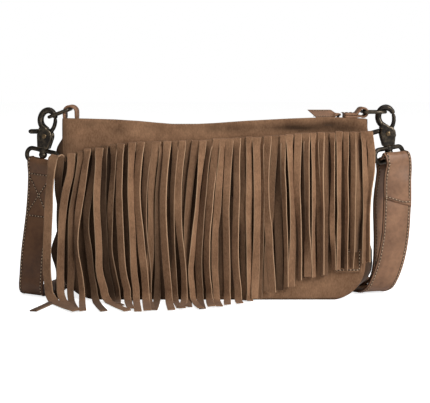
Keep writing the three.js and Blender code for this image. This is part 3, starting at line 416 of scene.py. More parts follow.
class Materials:
    """Makes each finish once."""

    RIM = (0.84, 0.97)

    def __init__(self) -> None:
        """Makes all the finishes."""
        self.effects = Effects().groups
        self.suede = self._make(SUEDE)
        self.dark_suede = self._make(DARK_SUEDE)
        self.leather = self._make(LEATHER)
        self.thread = self._make(THREAD)
        self.tape = self._make(TAPE)
        self.holes = self._make(HOLES)
        self.gunmetal = self._make(GUNMETAL)
        self.brass = self._make(BRASS)
        self.steel = self._make(STEEL)

    def _make(self, finish: Finish) -> bpy.types.Material:
        """Makes the material of a finish.

        Args:
            finish: its tones, its effect and what else sets it apart.

        Returns:
            The material, with the effect's group feeding its shader.
        """
        material = bpy.data.materials.new(finish.name)
        material.use_nodes = True
        graph, shader = Graph(material.node_tree), material.node_tree.nodes["Principled BSDF"]
        given = {"Pitch": finish.pitch} if finish.pitch else {}
        effect = graph.add("ShaderNodeGroup", given, node_tree=self.effects[finish.effect])
        colour = graph.mix_colour(effect.outputs["Tone"], linear(finish.dark), linear(finish.light))
        if finish.edge:
            colour = self._worn_and_shaded(graph, colour, finish)
        graph.feed(shader.inputs["Base Color"], colour)
        rough = effect.outputs.get("Rough")
        level = finish.roughness[0] if rough is None else graph.span(rough, 0.0, 1.0, *finish.roughness)
        graph.feed(shader.inputs["Roughness"], level)
        for name, value in finish.plain.items():
            shader.inputs[name].default_value = value
        bump = {"Strength": finish.bump[0], "Distance": finish.bump[1], "Height": effect.outputs["Height"]}
        graph.feed(shader.inputs["Normal"], graph.add("ShaderNodeBump", bump).outputs[0])
        return material

    def _worn_and_shaded(self, graph: Graph, colour: Socket, finish: Finish) -> Socket:
        """Shows a hide's cut edges by its "rim", on suede partly a painted highlight, and its painted shade by its
        "shade".
        """
        rim = graph.math("MULTIPLY", graph.span(graph.attribute("rim"), *self.RIM), finish.edge_weight)
        colour = graph.mix_colour(rim, colour, linear(finish.edge))
        # Painted shade and painted light, as each piece sets them in its "shade".
        level = graph.math("ADD", graph.attribute("shade"), 1.0)
        dim = graph.math("MINIMUM", level, 1.0)
        green, blue = (
            graph.math("MULTIPLY", level, graph.math("POWER", dim, power)) if power else level
            for power in finish.warmth
        )
        tint = graph.add("ShaderNodeCombineColor", {0: level, 1: green, 2: blue}).outputs[0]
        return graph.mix_colour(1.0, colour, tint, "MULTIPLY")


# ---------------------------------------------------------------- numbers and shapes


def unit(vectors: Array) -> Array:
    """Scales vectors to length one along the last axis."""
    return vectors / np.maximum(np.linalg.norm(vectors, axis=-1, keepdims=True), 1e-9)


def smooth_step(value: Array, low: float, high: float) -> Array:
    """Smooth ramp from 0 at low to 1 at high."""
    share = np.clip((value - low) / (high - low), 0.0, 1.0)
    return share * share * (3 - 2 * share)


def half_length_at(z: Array) -> Array:
    """Half the length of the panels at a height, with their round lower corners."""
    narrowed = HALF_LENGTH - BODY.narrowing * z / BODY.height
    drop = np.clip(BODY.corner - z, 0.0, BODY.corner)
    return narrowed - BODY.corner + np.sqrt(BODY.corner**2 - drop**2)


def half_depth_at(z: Array) -> Array:
    """Distance of the panels from the middle plane at a height."""
    return (BODY.base_depth + (BODY.top_depth - BODY.base_depth) * z / BODY.height) / 2


def top_edge_at(x: Array) -> Array:
    """Height of the top edge along the bag, read off the photo."""
    places = [-155, -125, -100, -79, -61, -41, -21, -2, 31, 72, 112, 133, 152]
    levels = [181.5, 180.9, 180.1, 178.8, 177.1, 175.5, 175.6, 176.5, 178.8, 181.0, 182.4, 181.9, 180.8]
    return np.interp(x, places, levels)


def fringe_end_at(x: Array) -> Array:
    """Height of the lower ends of the strands along the bag."""
    return np.interp(x, [-160, 10, 45, 62, 85, 115, 150], [-25, -12, 3, 11, 23, 30, 39])


def worn_inset(z: Array, right: Array) -> Array:
    """How far the front panel's side edge lies inside its cut outline, where the bag has rolled over it."""
    low = 5.0 - 2.0 * smooth_step(z, 40, 100) - 2.2 * smooth_step(z, 120, 150)
    return np.where(right, low + 2.6 * smooth_step(z, 158, 182), 0.0)


def panel_face_at(x: Array, z: Array) -> Array:
    """Distance of a panel's outer face from the middle plane."""
    level = np.clip(z, 0.0, BODY.height)
    across = np.clip(np.abs(x) / half_length_at(level), 0.0, 1.0)
    return half_depth_at(level) + BODY.belly * np.sin(np.pi * level / BODY.height) * (1 - across**2)


def crest_at(x: Array) -> Array:
    """Height of the crest over which the strands fold, read off the photo along the bag."""
    places = [-160, -152, -137, -126, -112, -100, -84, -68, -48, -20, 2, 20, 40, 62, 90, 120, 155]
    levels = [141.8, 146.6, 147.2, 151.0, 154.0, 156.6, 158.0, 159.0, 159.8, 160.4, 161.4, 162.4, 163.6,
              165.2, 167.4, 168.4, 168.4]
    return np.interp(x, places, levels)


def catmull(points: Array, steps: int, centripetal: bool) -> Array:
    """Curve through points.

    Args:
        points: the points in order.
        steps: samples on each stretch between two points.
        centripetal: whether the spacing follows the distances, or is even.

    Returns:
        The samples, with the last point at the end.
    """
    ends = [2 * points[0] - points[1], 2 * points[-1] - points[-2]]
    row = np.vstack([ends[:1], points, ends[1:]])
    shares = np.arange(steps)[:, None] / steps
    samples = []
    for a, b, c, d in zip(row, row[1:], row[2:], row[3:]):
        if centripetal:
            first, second, third = (math.sqrt(np.linalg.norm(q - p)) for p, q in ((a, b), (b, c), (c, d)))
            start = ((b - a) / first - (c - a) / (first + second) + (c - b) / second) * second
            end = ((c - b) / second - (d - b) / (second + third) + (d - c) / third) * second
        else:
            start, end = (c - a) / 2, (d - b) / 2
        square, cube = shares**2, shares**3
        curve = (2 * cube - 3 * square + 1) * b + (cube - 2 * square + shares) * start
        samples.append(curve + (3 * square - 2 * cube) * c + (cube - square) * end)
    return np.vstack([*samples, points[-1:]])


def tangents_of(line: Array, closed: bool = False) -> Array:
    """Directions along a polyline."""
    if closed:
        return unit(np.roll(line, -1, axis=0) - np.roll(line, 1, axis=0))
    return unit(np.gradient(line, axis=0))


def grid_normals(grid: Array, towards: Array) -> Array:
    """Normals of a grid of points, turned to the side that a direction points to."""
    down, along = np.gradient(grid, axis=0), np.gradient(grid, axis=1)
    normals = unit(np.cross(down, along))
    if np.sum(normals @ towards) < 0:
        normals = -normals
    return normals


def arc(centre: tuple[float, float], radius: float, start: float, stop: float, count: int) -> Array:
    """Points of a circle's arc in a plane, between two angles in degrees."""
    turn = np.radians(np.linspace(start, stop, count))
    return np.stack([centre[0] + radius * np.cos(turn), centre[1] + radius * np.sin(turn)], axis=1)


def upright(flat: Array, y: float = 0.0) -> Array:
    """Places in the plane along the bag, given as x and z."""
    return np.insert(np.asarray(flat, float), 1, y, axis=1)


def heading(degrees: float) -> Array:
    """A level direction, turned from the bag's length."""
    turn = math.radians(degrees)
    return np.array([math.cos(turn), math.sin(turn), 0.0])


# ---------------------------------------------------------------- meshes


@dataclasses.dataclass
class Shape:
    """Points in millimetres, faces, and values for each point that the finishes read."""

    points: Array
    faces: list
    values: dict[str, Array] = dataclasses.field(default_factory=dict)


def path_of(points: Array, face: Array) -> Shape:
    """A polyline for the path tools, with the side that what follows it faces."""
    return Shape(points, [], {"face": np.broadcast_to(face, points.shape)})


def join_shapes(shapes: Iterable[Shape]) -> Shape:
    """Puts several shapes into one. A value that a shape lacks is zero there."""
    shapes = list(shapes)
    names = {name for shape in shapes for name in shape.values}
    faces, start = [], 0
    for shape in shapes:
        faces += [[start + corner for corner in face] for face in shape.faces]
        start += len(shape.points)
    points = np.vstack([shape.points for shape in shapes])
    none = {id(shape): np.zeros(len(shape.points)) for shape in shapes}
    values = {n: np.concatenate([s.values.get(n, none[id(s)]) for s in shapes]) for n in names}
    return Shape(points, faces, values)


def quads_between(first: Array, second: Array, closed: bool) -> list:
    """Quads between two rows of point numbers."""
    count = len(first) if closed else len(first) - 1
    follow = [(i + 1) % len(first) for i in range(count)]
    return [[int(first[i]), int(first[j]), int(second[j]), int(second[i])] for i, j in enumerate(follow)]


def rounded_sheet(grid: Array, towards: Array, thickness: float, shade: Array | None = None) -> Shape:
    """Gives a grid of points a thickness, with a border that is rounded all the way.

    Args:
        grid: rows by columns of places on the middle surface.
        towards: a direction on the side of the outer face.
        thickness: the sheet's thickness.
        shade: brightness offsets for the grid's points.

    Returns:
        The closed shape, with "rim" set on its border.
    """
    rows, columns = grid.shape[:2]
    normals = grid_normals(grid, towards)
    half = thickness / 2
    loop = [(0, j) for j in range(columns)] + [(i, columns - 1) for i in range(1, rows)]
    loop += [(rows - 1, j) for j in range(columns - 2, -1, -1)] + [(i, 0) for i in range(rows - 2, 0, -1)]
    outer = np.arange(rows * columns).reshape(rows, columns)
    inner = outer + rows * columns
    here = np.array([grid[p] for p in loop])
    inside = np.array([grid[min(max(i, 1), rows - 2), min(max(j, 1), columns - 2)] for i, j in loop])
    normal = np.array([normals[p] for p in loop])
    away = here - inside
    away = unit(away - np.sum(away * normal, axis=1, keepdims=True) * normal)
    points = [(grid + normals * half).reshape(-1, 3), (grid - normals * half).reshape(-1, 3)]
    rings = [np.array([outer[p] for p in loop])]
    for angle in np.radians((45.0, 0.0, -45.0)):
        points.append(here + half * (normal * math.sin(angle) + away * math.cos(angle)))
        rings.append(2 * rows * columns + (len(rings) - 1) * len(loop) + np.arange(len(loop)))
    rings.append(np.array([inner[p] for p in loop]))
    faces = []
    for i in range(rows - 1):
        faces += quads_between(outer[i], outer[i + 1], False) + quads_between(inner[i + 1], inner[i], False)
    for first, second in zip(rings, rings[1:]):
        faces += quads_between(second, first, True)
    count = 2 * rows * columns
    rim = np.concatenate([np.zeros(count), np.ones(3 * len(loop))])
    rim[rings[0]] = 0.6
    level = np.zeros((rows, columns)) if shade is None else shade
    level = np.concatenate([level.ravel(), level.ravel(), np.tile([level[p] for p in loop], 3)])
    return Shape(np.vstack(points), faces, {"rim": rim, "shade": level})


def sweep(line: Array, wide: Array, thick: Array, profile: Array, closed: bool = False) -> Shape:
    """Carries a profile along a line.

    Args:
        line: the places along the line.
        wide: the direction of the profile's first coordinate at each place.
        thick: the direction of its second.
        profile: the outline, either once or for each place.
        closed: whether the line is a loop.

    Returns:
        The closed shape.
    """
    outlines = np.broadcast_to(profile, (len(line), *profile.shape[-2:]))
    rings = line[:, None] + outlines[..., :1] * wide[:, None] + outlines[..., 1:] * thick[:, None]
    numbers = np.arange(rings.shape[0] * rings.shape[1]).reshape(rings.shape[:2])
    faces = []
    pairs = list(zip(numbers, numbers[1:])) + ([(numbers[-1], numbers[0])] if closed else [])
    for first, second in pairs:
        faces += quads_between(first, second, True)
    if not closed:
        faces += [numbers[0][::-1].tolist(), numbers[-1].tolist()]
    return Shape(rings.reshape(-1, 3), faces)


def circle(radius: float, sides: int) -> Array:
    """Outline of a round bar."""
    angles = np.arange(sides) * 2 * np.pi / sides
    return radius * np.stack([np.cos(angles), np.sin(angles)], axis=1)


def rounded_bar(width: float, thickness: float, corner: float, middles: int = 3) -> Array:
    """Outline of a flat strip with rounded edges."""
    half, deep = width / 2 - corner, thickness / 2 - corner
    outline = []
    for side, start in ((1, -90.0), (-1, 90.0)):
        for angle in np.radians(start + np.linspace(0.0, 180.0, 5)):
            high = deep * np.sign(np.sin(angle)) if abs(np.sin(angle)) > 0.1 else 0.0
            outline.append((side * half + corner * math.cos(angle), high + corner * math.sin(angle)))
        for share in np.linspace(1, -1, middles + 2)[1:-1]:
            outline.append((side * half * share, side * thickness / 2))
    return np.array(outline)


def wire_loop(line: Array, normal: Array, radius: float, sides: int = 20) -> Shape:
    """A closed loop of round bar in a plane."""
    across = unit(np.cross(normal, tangents_of(line, True)))
    return sweep(line, across, np.tile(normal, (len(line), 1)), circle(radius, sides), True)


def round_tube(outline: Sequence[tuple[float, float]], sides: int = 40) -> Shape:
    """Turns a closed outline of radius and height about the vertical axis."""
    ways = np.insert(circle(1.0, sides), 2, 0.0, axis=1)
    return sweep(np.zeros((sides, 3)), ways, np.tile(UP, (sides, 1)), np.array(outline), True)


def turned_pin(outline: Sequence[tuple[float, float]], sides: int = 32) -> Shape:
    """Turns an open outline of radius and height about the vertical axis, and closes it with a point at each end."""
    rings = [np.column_stack([circle(radius, sides), np.full(sides, height)]) for radius, height in outline]
    ends = np.array([[0.0, 0.0, outline[0][1]], [0.0, 0.0, outline[-1][1]]])
    points = np.vstack([*rings, ends])
    numbers = np.arange(len(outline) * sides).reshape(len(outline), sides)
    faces = []
    for first, second in zip(numbers, numbers[1:]):
        faces += quads_between(first, second, True)
    low, high = len(points) - 2, len(points) - 1
    for i in range(sides):
        j = (i + 1) % sides
        faces += [[low, int(numbers[0][j]), int(numbers[0][i])], [high, int(numbers[-1][i]), int(numbers[-1][j])]]
    return Shape(points, faces)


def link_object(name: str, data: bpy.types.ID) -> bpy.types.Object:
    """Makes an object of a mesh, a lamp or a camera and links it into the scene."""
    made = bpy.data.objects.new(name, data)
    bpy.context.scene.collection.objects.link(made)
    return made


def mesh_object(name: str, shape: Shape, material: bpy.types.Material) -> bpy.types.Object:
    """Makes an object of a shape, with its faces pointing out and smooth shading."""
    mesh = bpy.data.meshes.new(name)
    mesh.from_pydata((shape.points * MM).tolist(), [], shape.faces)
    for key, values in shape.values.items():
        layer = mesh.attributes.new(key, "FLOAT", "POINT")
        layer.data.foreach_set("value", np.asarray(values, np.float32))
    return finished_object(name, mesh, material)


def finished_object(name: str, mesh: bpy.types.Mesh, material: bpy.types.Material,
                    crease: float = 0.0) -> bpy.types.Object:
    """Links a mesh into the scene under a name, with one material.

    Args:
        name: the object's name.
        mesh: the mesh, which this turns outwards and shades smoothly.
        material: the finish.
        crease: edges that bend by more than this many degrees stay crisp; 0 smooths all of them.

    Returns:
        The object.
    """
    sheet = bmesh.new()
    sheet.from_mesh(mesh)
    bmesh.ops.recalc_face_normals(sheet, faces=sheet.faces)
    sheet.to_mesh(mesh)
    sheet.free()
    mesh.materials.clear()
    mesh.materials.append(material)
    mesh.polygons.foreach_set("use_smooth", np.ones(len(mesh.polygons), bool))
    if crease:
        mesh.set_sharp_from_angle(angle=math.radians(crease))
    return link_object(name, mesh)


def settle(made: bpy.types.Object, body: str, slot: Slot, *nodes: str) -> None:
    """Ties a piece to its body and hides the CAD nodes that it stands for."""
    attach(made, body)
    if nodes:
        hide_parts(*nodes)


def apply_modifiers(made: bpy.types.Object) -> bpy.types.Mesh:
    """Makes a plain mesh of an object and its modifiers, and removes the object."""
    evaluated = made.evaluated_get(bpy.context.evaluated_depsgraph_get())
    mesh = bpy.data.meshes.new_from_object(evaluated)
    bpy.data.objects.remove(made)
    return mesh


RUBBED_BEND = (0.08, 0.3)


def mark_wear(mesh: bpy.types.Mesh, least: float) -> None:
    """Stores "wear" on a mesh: high where the surface is sharply rounded outwards.

    Args:
        mesh: the mesh, with its faces pointing out.
        least: the wear of a flat place.
    """
    count = len(mesh.vertices)
    places, normals = np.empty(count * 3), np.empty(count * 3, np.float32)
    mesh.vertices.foreach_get("co", places)
    mesh.vertices.foreach_get("normal", normals)
    places, normals = places.reshape(-1, 3), normals.reshape(-1, 3)
    edges = np.empty(len(mesh.edges) * 2, np.int32)
    mesh.edges.foreach_get("vertices", edges)
    first, second = edges.reshape(-1, 2).T
    span = places[second] - places[first]
    total, near = np.zeros((count, 3)), np.zeros(count)
    for a, b, way in ((first, second, 1), (second, first, -1)):
        np.add.at(total, a, way * span)
        np.add.at(near, a, 1)
    away = -np.sum(total * normals, axis=1) / np.maximum(near, 1)
    bend = away / np.mean(np.linalg.norm(span, axis=1))
    spread = bend.copy()
    for _ in range(2):
        summed = np.zeros(count)
        np.add.at(summed, first, spread[second])
        np.add.at(summed, second, spread[first])
        spread = (spread + summed / np.maximum(near, 1)) / 2
    wear = np.clip(least + smooth_step(spread, *RUBBED_BEND), 0.0, 1.0)
    layer = mesh.attributes.new("wear", "FLOAT", "POINT")
    layer.data.foreach_set("value", wear.astype(np.float32))


# ---------------------------------------------------------------- geometry nodes


class PathTools:
    """Geometry node groups for what repeats along a path or follows it."""

    FLOAT, VECTOR = "NodeSocketFloat", "NodeSocketVector"

    def __init__(self) -> None:
        """Makes the three groups."""
        self.strands = self._strands()
        self.stitches = self._beads("Stitches", "GeometryNodeMeshIcoSphere", {"Radius": 0.5, "Subdivisions": 2})
        self.teeth = self._beads("Teeth", "GeometryNodeMeshCube", {"Size": (1.0, 1.0, 1.0)})

    @staticmethod
    def _begin(name: str, sizes: dict[str, str]) -> tuple:
        """Starts a group on polylines; returns its nodes and the curves, whose normals are "face"."""
        inputs = {"Geometry": "NodeSocketGeometry", **sizes, "Material": "NodeSocketMaterial"}
        tree, given, result, graph = new_group(name, "GeometryNodeTree", {"Geometry": "NodeSocketGeometry"}, inputs)
        curve = graph.add("GeometryNodeMeshToCurve", {"Mesh": given.outputs["Geometry"]}).outputs[0]
        face = graph.add("GeometryNodeInputNamedAttribute", {"Name": "face"}, data_type="FLOAT_VECTOR")
        turned = graph.add("GeometryNodeSetCurveNormal", {"Curve": curve}, mode="FREE")
        graph.feed(turned.inputs["Normal"], face.outputs[0])
        return tree, given, result, graph, turned.outputs[0]

    @staticmethod
    def _finish(graph: Graph, given: bpy.types.Node, result: bpy.types.Node, geometry: Socket) -> None:
        """Ends a group: what it made becomes real and gets its material."""
        real = graph.add("GeometryNodeRealizeInstances", {"Geometry": geometry}).outputs[0]
        inputs = {"Geometry": real, "Material": given.outputs["Material"]}
        graph.feed(result.inputs["Geometry"], graph.add("GeometryNodeSetMaterial", inputs).outputs[0])

    def _strands(self) -> bpy.types.NodeTree:
        """Cut strips of suede along curves, a little cupped, with their cut edges marked."""
        sizes = {"Width": self.FLOAT, "Thickness": self.FLOAT, "Cup": self.FLOAT}
        tree, given, result, graph, curve = self._begin("Strands", sizes)
        width, thickness = given.outputs["Width"], given.outputs["Thickness"]
        sides = {"Width": thickness, "Height": width}
        outline = graph.add("GeometryNodeCurvePrimitiveQuadrilateral", sides).outputs[0]
        corner = graph.math("MULTIPLY", thickness, 0.3)
        outline = graph.add("GeometryNodeFilletCurve", {"Curve": outline, "Radius": corner, "Count": 1}, mode="POLY")
        outline = graph.add("GeometryNodeSubdivideCurve", {"Curve": outline.outputs[0], "Cuts": 1}).outputs[0]
        place = graph.add("GeometryNodeInputPosition").outputs[0]
        off = graph.math("ABSOLUTE", graph.add("ShaderNodeSeparateXYZ", {0: place}).outputs["Y"])
        share = graph.math("DIVIDE", off, graph.math("MULTIPLY", width, 0.5))
        stored = {"Geometry": outline, "Name": "rim", "Value": share}
        outline = graph.add("GeometryNodeStoreNamedAttribute", stored, data_type="FLOAT", domain="POINT").outputs[0]
        sag = graph.math("MULTIPLY", graph.math("MULTIPLY", share, share), given.outputs["Cup"])
        offset = graph.add("ShaderNodeCombineXYZ", {0: graph.math("MULTIPLY", sag, -1.0)}).outputs[0]
        outline = graph.add("GeometryNodeSetPosition", {"Geometry": outline, "Offset": offset}).outputs[0]
        scale = graph.add("GeometryNodeInputNamedAttribute", {"Name": "broad"}, data_type="FLOAT").outputs[0]
        swept = {"Curve": curve, "Profile Curve": outline, "Scale": scale, "Fill Caps": True}
        self._finish(graph, given, result, graph.add("GeometryNodeCurveToMesh", swept).outputs[0])
        return tree

    def _beads(self, name: str, kind: str, made: dict) -> bpy.types.NodeTree:
        """One small shape at an even pitch along curves, scaled to a size."""
        tree, given, result, graph, curve = self._begin(name, {"Pitch": self.FLOAT, "Size": self.VECTOR})
        spread = {"Curve": curve, "Length": given.outputs["Pitch"]}
        points = graph.add("GeometryNodeCurveToPoints", spread, mode="LENGTH")
        ways = {"Primary Axis": points.outputs["Tangent"], "Secondary Axis": points.outputs["Normal"]}
        turned = graph.add("FunctionNodeAxesToRotation", ways, primary_axis="X", secondary_axis="Z").outputs[0]
        bead = graph.add(kind, made).outputs[0]
        placed = {"Points": points.outputs[0], "Instance": bead, "Rotation": turned, "Scale": given.outputs["Size"]}
        self._finish(graph, given, result, graph.add("GeometryNodeInstanceOnPoints", placed).outputs[0])
        return tree

    @staticmethod
    def run(name: str, tree: bpy.types.NodeTree, lines: Sequence[Shape], inputs: dict,
            crease: float = 0.0) -> bpy.types.Object:
        """Runs a group on polylines and returns a plain object.

        Args:
            name: the object's name.
            tree: the node group.
            lines: polylines, whose values may hold vectors.
            inputs: the group's inputs by name; lengths are in metres. "Material" is among them.
            crease: edges that bend by more than this many degrees stay crisp.

        Returns:
            The object, with its faces pointing out.
        """
        mesh = bpy.data.meshes.new(name)
        points = np.vstack([line.points for line in lines]) * MM
        edges, start = [], 0
        for line in lines:
            edges += [(start + i, start + i + 1) for i in range(len(line.points) - 1)]
            start += len(line.points)
        mesh.from_pydata(points.tolist(), edges, [])
        for key in lines[0].values:
            values = np.concatenate([line.values[key] for line in lines]).astype(np.float32)
            kind, field = ("FLOAT_VECTOR", "vector") if values.ndim == 2 else ("FLOAT", "value")
            layer = mesh.attributes.new(key, kind, "POINT")
            layer.data.foreach_set(field, values.ravel())
        carrier = link_object(name + "_paths", mesh)
        modifier = carrier.modifiers.new("paths", "NODES")
        modifier.node_group = tree
        sockets = {item.name: item.identifier for item in tree.interface.items_tree if item.in_out == "INPUT"}
        for key, value in inputs.items():
            modifier[sockets[key]] = value
        plain = apply_modifiers(carrier)
        return finished_object(name, plain, inputs["Material"], crease)


class Maker:
    """What makes pieces of the bag: the finishes, the path tools and the CAD nodes."""

    STITCH_LIFT = 0.05

    def __init__(self, materials: Materials, tools: PathTools, nodes: dict) -> None:
        """Keeps what all makers share."""
        self.materials = materials
        self.tools = tools
        self.nodes = nodes

    @staticmethod
    def put(name: str, shape: Shape, material: bpy.types.Material, body: str, slot: Slot, *nodes: str) -> None:
        """Makes a piece of a shape, ties it to its body and hides the CAD nodes it stands for."""
        settle(mesh_object(name, shape, material), body, slot, *nodes)

    def sew(self, name: str, paths: list[Shape], body: str = "bag", pitch: float = 3.4,
            size: tuple[float, float, float] = (2.3, 1.35, 1.1)) -> None:
        """Sews a thread along paths, over the dark holes of the needle.

        Args:
            name: the piece's name.
            paths: polylines with the side that they lie on as "face".
            body: the body that the piece rides on.
            pitch: distance from stitch to stitch.
            size: length, width and height of a stitch.
        """
        holes = (pitch + 0.3, size[1] * 1.45, size[2] * 0.6)
        for word, spread, material in (("", size, self.materials.thread), ("_holes", holes, self.materials.holes)):
            inputs = {"Pitch": pitch * MM, "Size": [s * MM for s in spread], "Material": material}
            made = self.tools.run(name + word, self.tools.stitches, paths, inputs)
            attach(made, body)

    def dress(self, name: str, material: bpy.types.Material, slot: Slot) -> None:
        """Gives a CAD node that stays its finish."""
        node = self.nodes[name]
        node.data.materials.clear()
        node.data.materials.append(material)


# ---------------------------------------------------------------- the bag's shell


class BagBody(Maker):
    """The lofted shell: two suede panels that sag, the gusset between them and the bare stitched patch.

    The first table lists soft hollows and swellings of the front above the fringe: x, z, half width, half height,
    and the painted shade (below zero) or painted light (above zero) that they get, partly also the nap's own
    mottling.
    """

    DENTS_AND_PAINTED_SHADE = (
        (-126, 174.5, 7, 3.0, -0.16), (-98, 169, 8, 4.5, -0.17), (-65, 172.5, 9, 3.5, -0.12),
        (-136, 167, 8, 5, 0.10), (-151.5, 160, 5, 22, -0.15), (-116, 161, 12, 5, -0.06),
        (-82, 166, 8, 6, 0.07), (-40, 168, 14, 5, 0.06), (-5, 170.5, 7, 4, -0.15), (16, 170, 13, 3.5, -0.13),
        (40, 171, 12, 5, 0.05), (74, 173.5, 10, 4, -0.17), (86, 169.5, 12, 4, -0.16), (112, 176.5, 9, 2.5, -0.18),
        (118, 175.5, 22, 2.4, -0.22), (130, 170, 18, 3.5, -0.22), (145, 175, 6, 4, 0.08),
        (88, 171.5, 48, 3.8, -0.38), (-146, 151, 10, 12, -0.14), (8, 172, 42, 5, -0.11), (105, 12, 60, 18, -0.06),
    )
    HOLLOW = 5.0
    ROLL = 1.5
    BASE_LIFT = 1.3
    MARK_SHADE = 1.5
    COVERED_SHADE = 0.72
    BULGE = {"left": 7.0, "right": 6.2}
    PATCH = {"x": 132.0, "z": 40.0, "width": 26.0, "height": 22.0, "thickness": 1.0, "inset": 1.7, "dent": 0.35,
             "dent_run": 0.8, "lift": 0.35}

    def build(self) -> None:
        """Makes the shell's pieces."""
        for side, word in ((-1, "front"), (1, "back")):
            panel = rounded_sheet(*self._panel(side))
            panel.values["rim"][:] = 0.0
            self.put(f"suede_{word}", panel, self.materials.suede, "bag", Slot.SUEDE, f"{word}_panel")
        # The side strip takes the suede darkened with painted shade.
        gusset = rounded_sheet(self._gusset(), -UP, BODY.suede)
        self.put("gusset_suede_painted_shade", gusset, self.materials.dark_suede, "bag", Slot.DARK_SUEDE, "gusset")
        self._patch()
        LOG.info("shell made")

    def _dents_and_painted_shade(self, x: Array, z: Array) -> Array:
        """How much the dents swell or hollow the front at some places; the same numbers give their painted shade and
        light.
        """
        total = np.zeros_like(x)
        for centre_x, centre_z, half_width, half_height, strength in self.DENTS_AND_PAINTED_SHADE:
            away = ((x - centre_x) / half_width) ** 2 + ((z - centre_z) / half_height) ** 2
            total += strength * np.exp(-away)
        return total

    @staticmethod
    def _edge_distance(x: Array, z: Array) -> Array:
        """Distance from the outline of the sides and the base."""
        straight = np.minimum(half_length_at(z) - np.abs(x), z)
        corner_x = np.abs(x) - (HALF_LENGTH - BODY.corner)
        in_corner = (corner_x > 0) & (z < BODY.corner)
        radial = BODY.corner - np.hypot(np.maximum(corner_x, 0), np.maximum(BODY.corner - z, 0))
        return np.clip(np.where(in_corner, radial, straight), 0.0, None)

    def _panel(self, side: int) -> tuple[Array, Array, float, Array]:
        """One panel, as rounded_sheet takes it.

        Args:
            side: -1 for the front, 1 for the back.

        Returns:
            The grid of places, the way out, the thickness and the shade.
        """
        turn = np.radians(np.linspace(4.0, 90.0, 15))
        levels = np.concatenate([BODY.corner * (1 - np.cos(turn)), np.linspace(BODY.corner, BODY.height, 62)[1:]])
        level, share = np.meshgrid(levels, np.linspace(-1.0, 1.0, 141), indexing="ij")
        inset = BODY.suede / 2
        front = side < 0
        x = share * (half_length_at(level) - inset - front * worn_inset(level, share > 0))
        top = top_edge_at(x) - inset * (1 if front else 2)
        sag = (BODY.height - top) * smooth_step(level, BODY.height * 0.7, BODY.height)
        # The front's lower edge is lifted so that the darkened side strip shows beneath it as a painted shadow line
        # at the base.
        z = np.maximum(level, inset + self.BASE_LIFT * front) - sag
        # Painted shade in the front's hollows and painted light on its swellings, besides the hollowing itself.
        dents_and_shade = self._dents_and_painted_shade(x, z) if front else np.zeros_like(x)
        waves = 0.5 * np.sin(x / 23.0 + 1.0) * np.sin(z / 31.0) + 0.3 * np.sin(x / 11.0 - z / 17.0)
        rolled = self.ROLL * (1 - smooth_step(self._edge_distance(x, z), 0.0, BODY.rolled_edge))
        out = panel_face_at(x, z) - BODY.suede / 2 + self.HOLLOW * dents_and_shade + waves * smooth_step(z, 0, 40) - rolled
        grid = np.stack([x, side * out, z], axis=-1)
        low, high = fringe_end_at(x), crest_at(x)
        covered = smooth_step(z - low, 2, 26) * (1 - smooth_step(z - high, -12, -1)) * front
        return grid, side * ACROSS, BODY.suede, self.MARK_SHADE * dents_and_shade - self.COVERED_SHADE * covered

    @staticmethod
    def _outline() -> tuple[Array, Array]:
        """The outline of the panels from the top left round the base, with outward directions."""
        straight = np.linspace(BODY.height - 3, BODY.corner, 60)
        centre = HALF_LENGTH - BODY.corner
        left = np.stack([-half_length_at(straight), straight], axis=1)
        bend = arc((-centre, BODY.corner), BODY.corner, 180, 270, 22)[1:]
        base = np.stack([np.linspace(-centre, 0.0, 26)[1:], np.zeros(25)], axis=1)
        half = np.vstack([left, bend, base])
        ways = np.vstack([np.tile([-1.0, 0.0], (60, 1)), arc((0.0, 0.0), 1.0, 180, 270, 22)[1:],
                          np.tile([0.0, -1.0], (25, 1))])
        return np.vstack([half, half[-2::-1] * (-1, 1)]), np.vstack([ways, ways[-2::-1] * (-1, 1)])

    def _gusset(self) -> Array:
        """The grid of the side and base strip, which bulges low down and folds in at its top."""
        outline, ways = self._outline()
        x, z = outline[:, 0], outline[:, 1]
        reach = half_depth_at(z) - BODY.suede - BODY.gap - 0.5
        right = x > 0
        pinch = np.where(right, smooth_step(z, 44, 72), smooth_step(z, 148, 176))
        swell = smooth_step(z, 0.0, BODY.corner * 0.8)
        bulge = np.where(right, self.BULGE["right"], self.BULGE["left"]) * swell * (1 - pinch) - BODY.recess * pinch
        across = np.linspace(-1.0, 1.0, 23)[:, None]
        push = bulge * (1 - across**4) - BODY.suede / 2
        push = push - worn_inset(z, right) * np.abs(ways[:, 0]) * smooth_step(-across, -0.2, 0.95)
        push = push + 0.5 * np.sin(z / 9.0 + 2 * across) * (1 - across**2) * swell
        grid = [x + ways[:, 0] * push, across * reach + 0 * x, z + ways[:, 1] * push]
        return np.stack(grid, axis=-1)

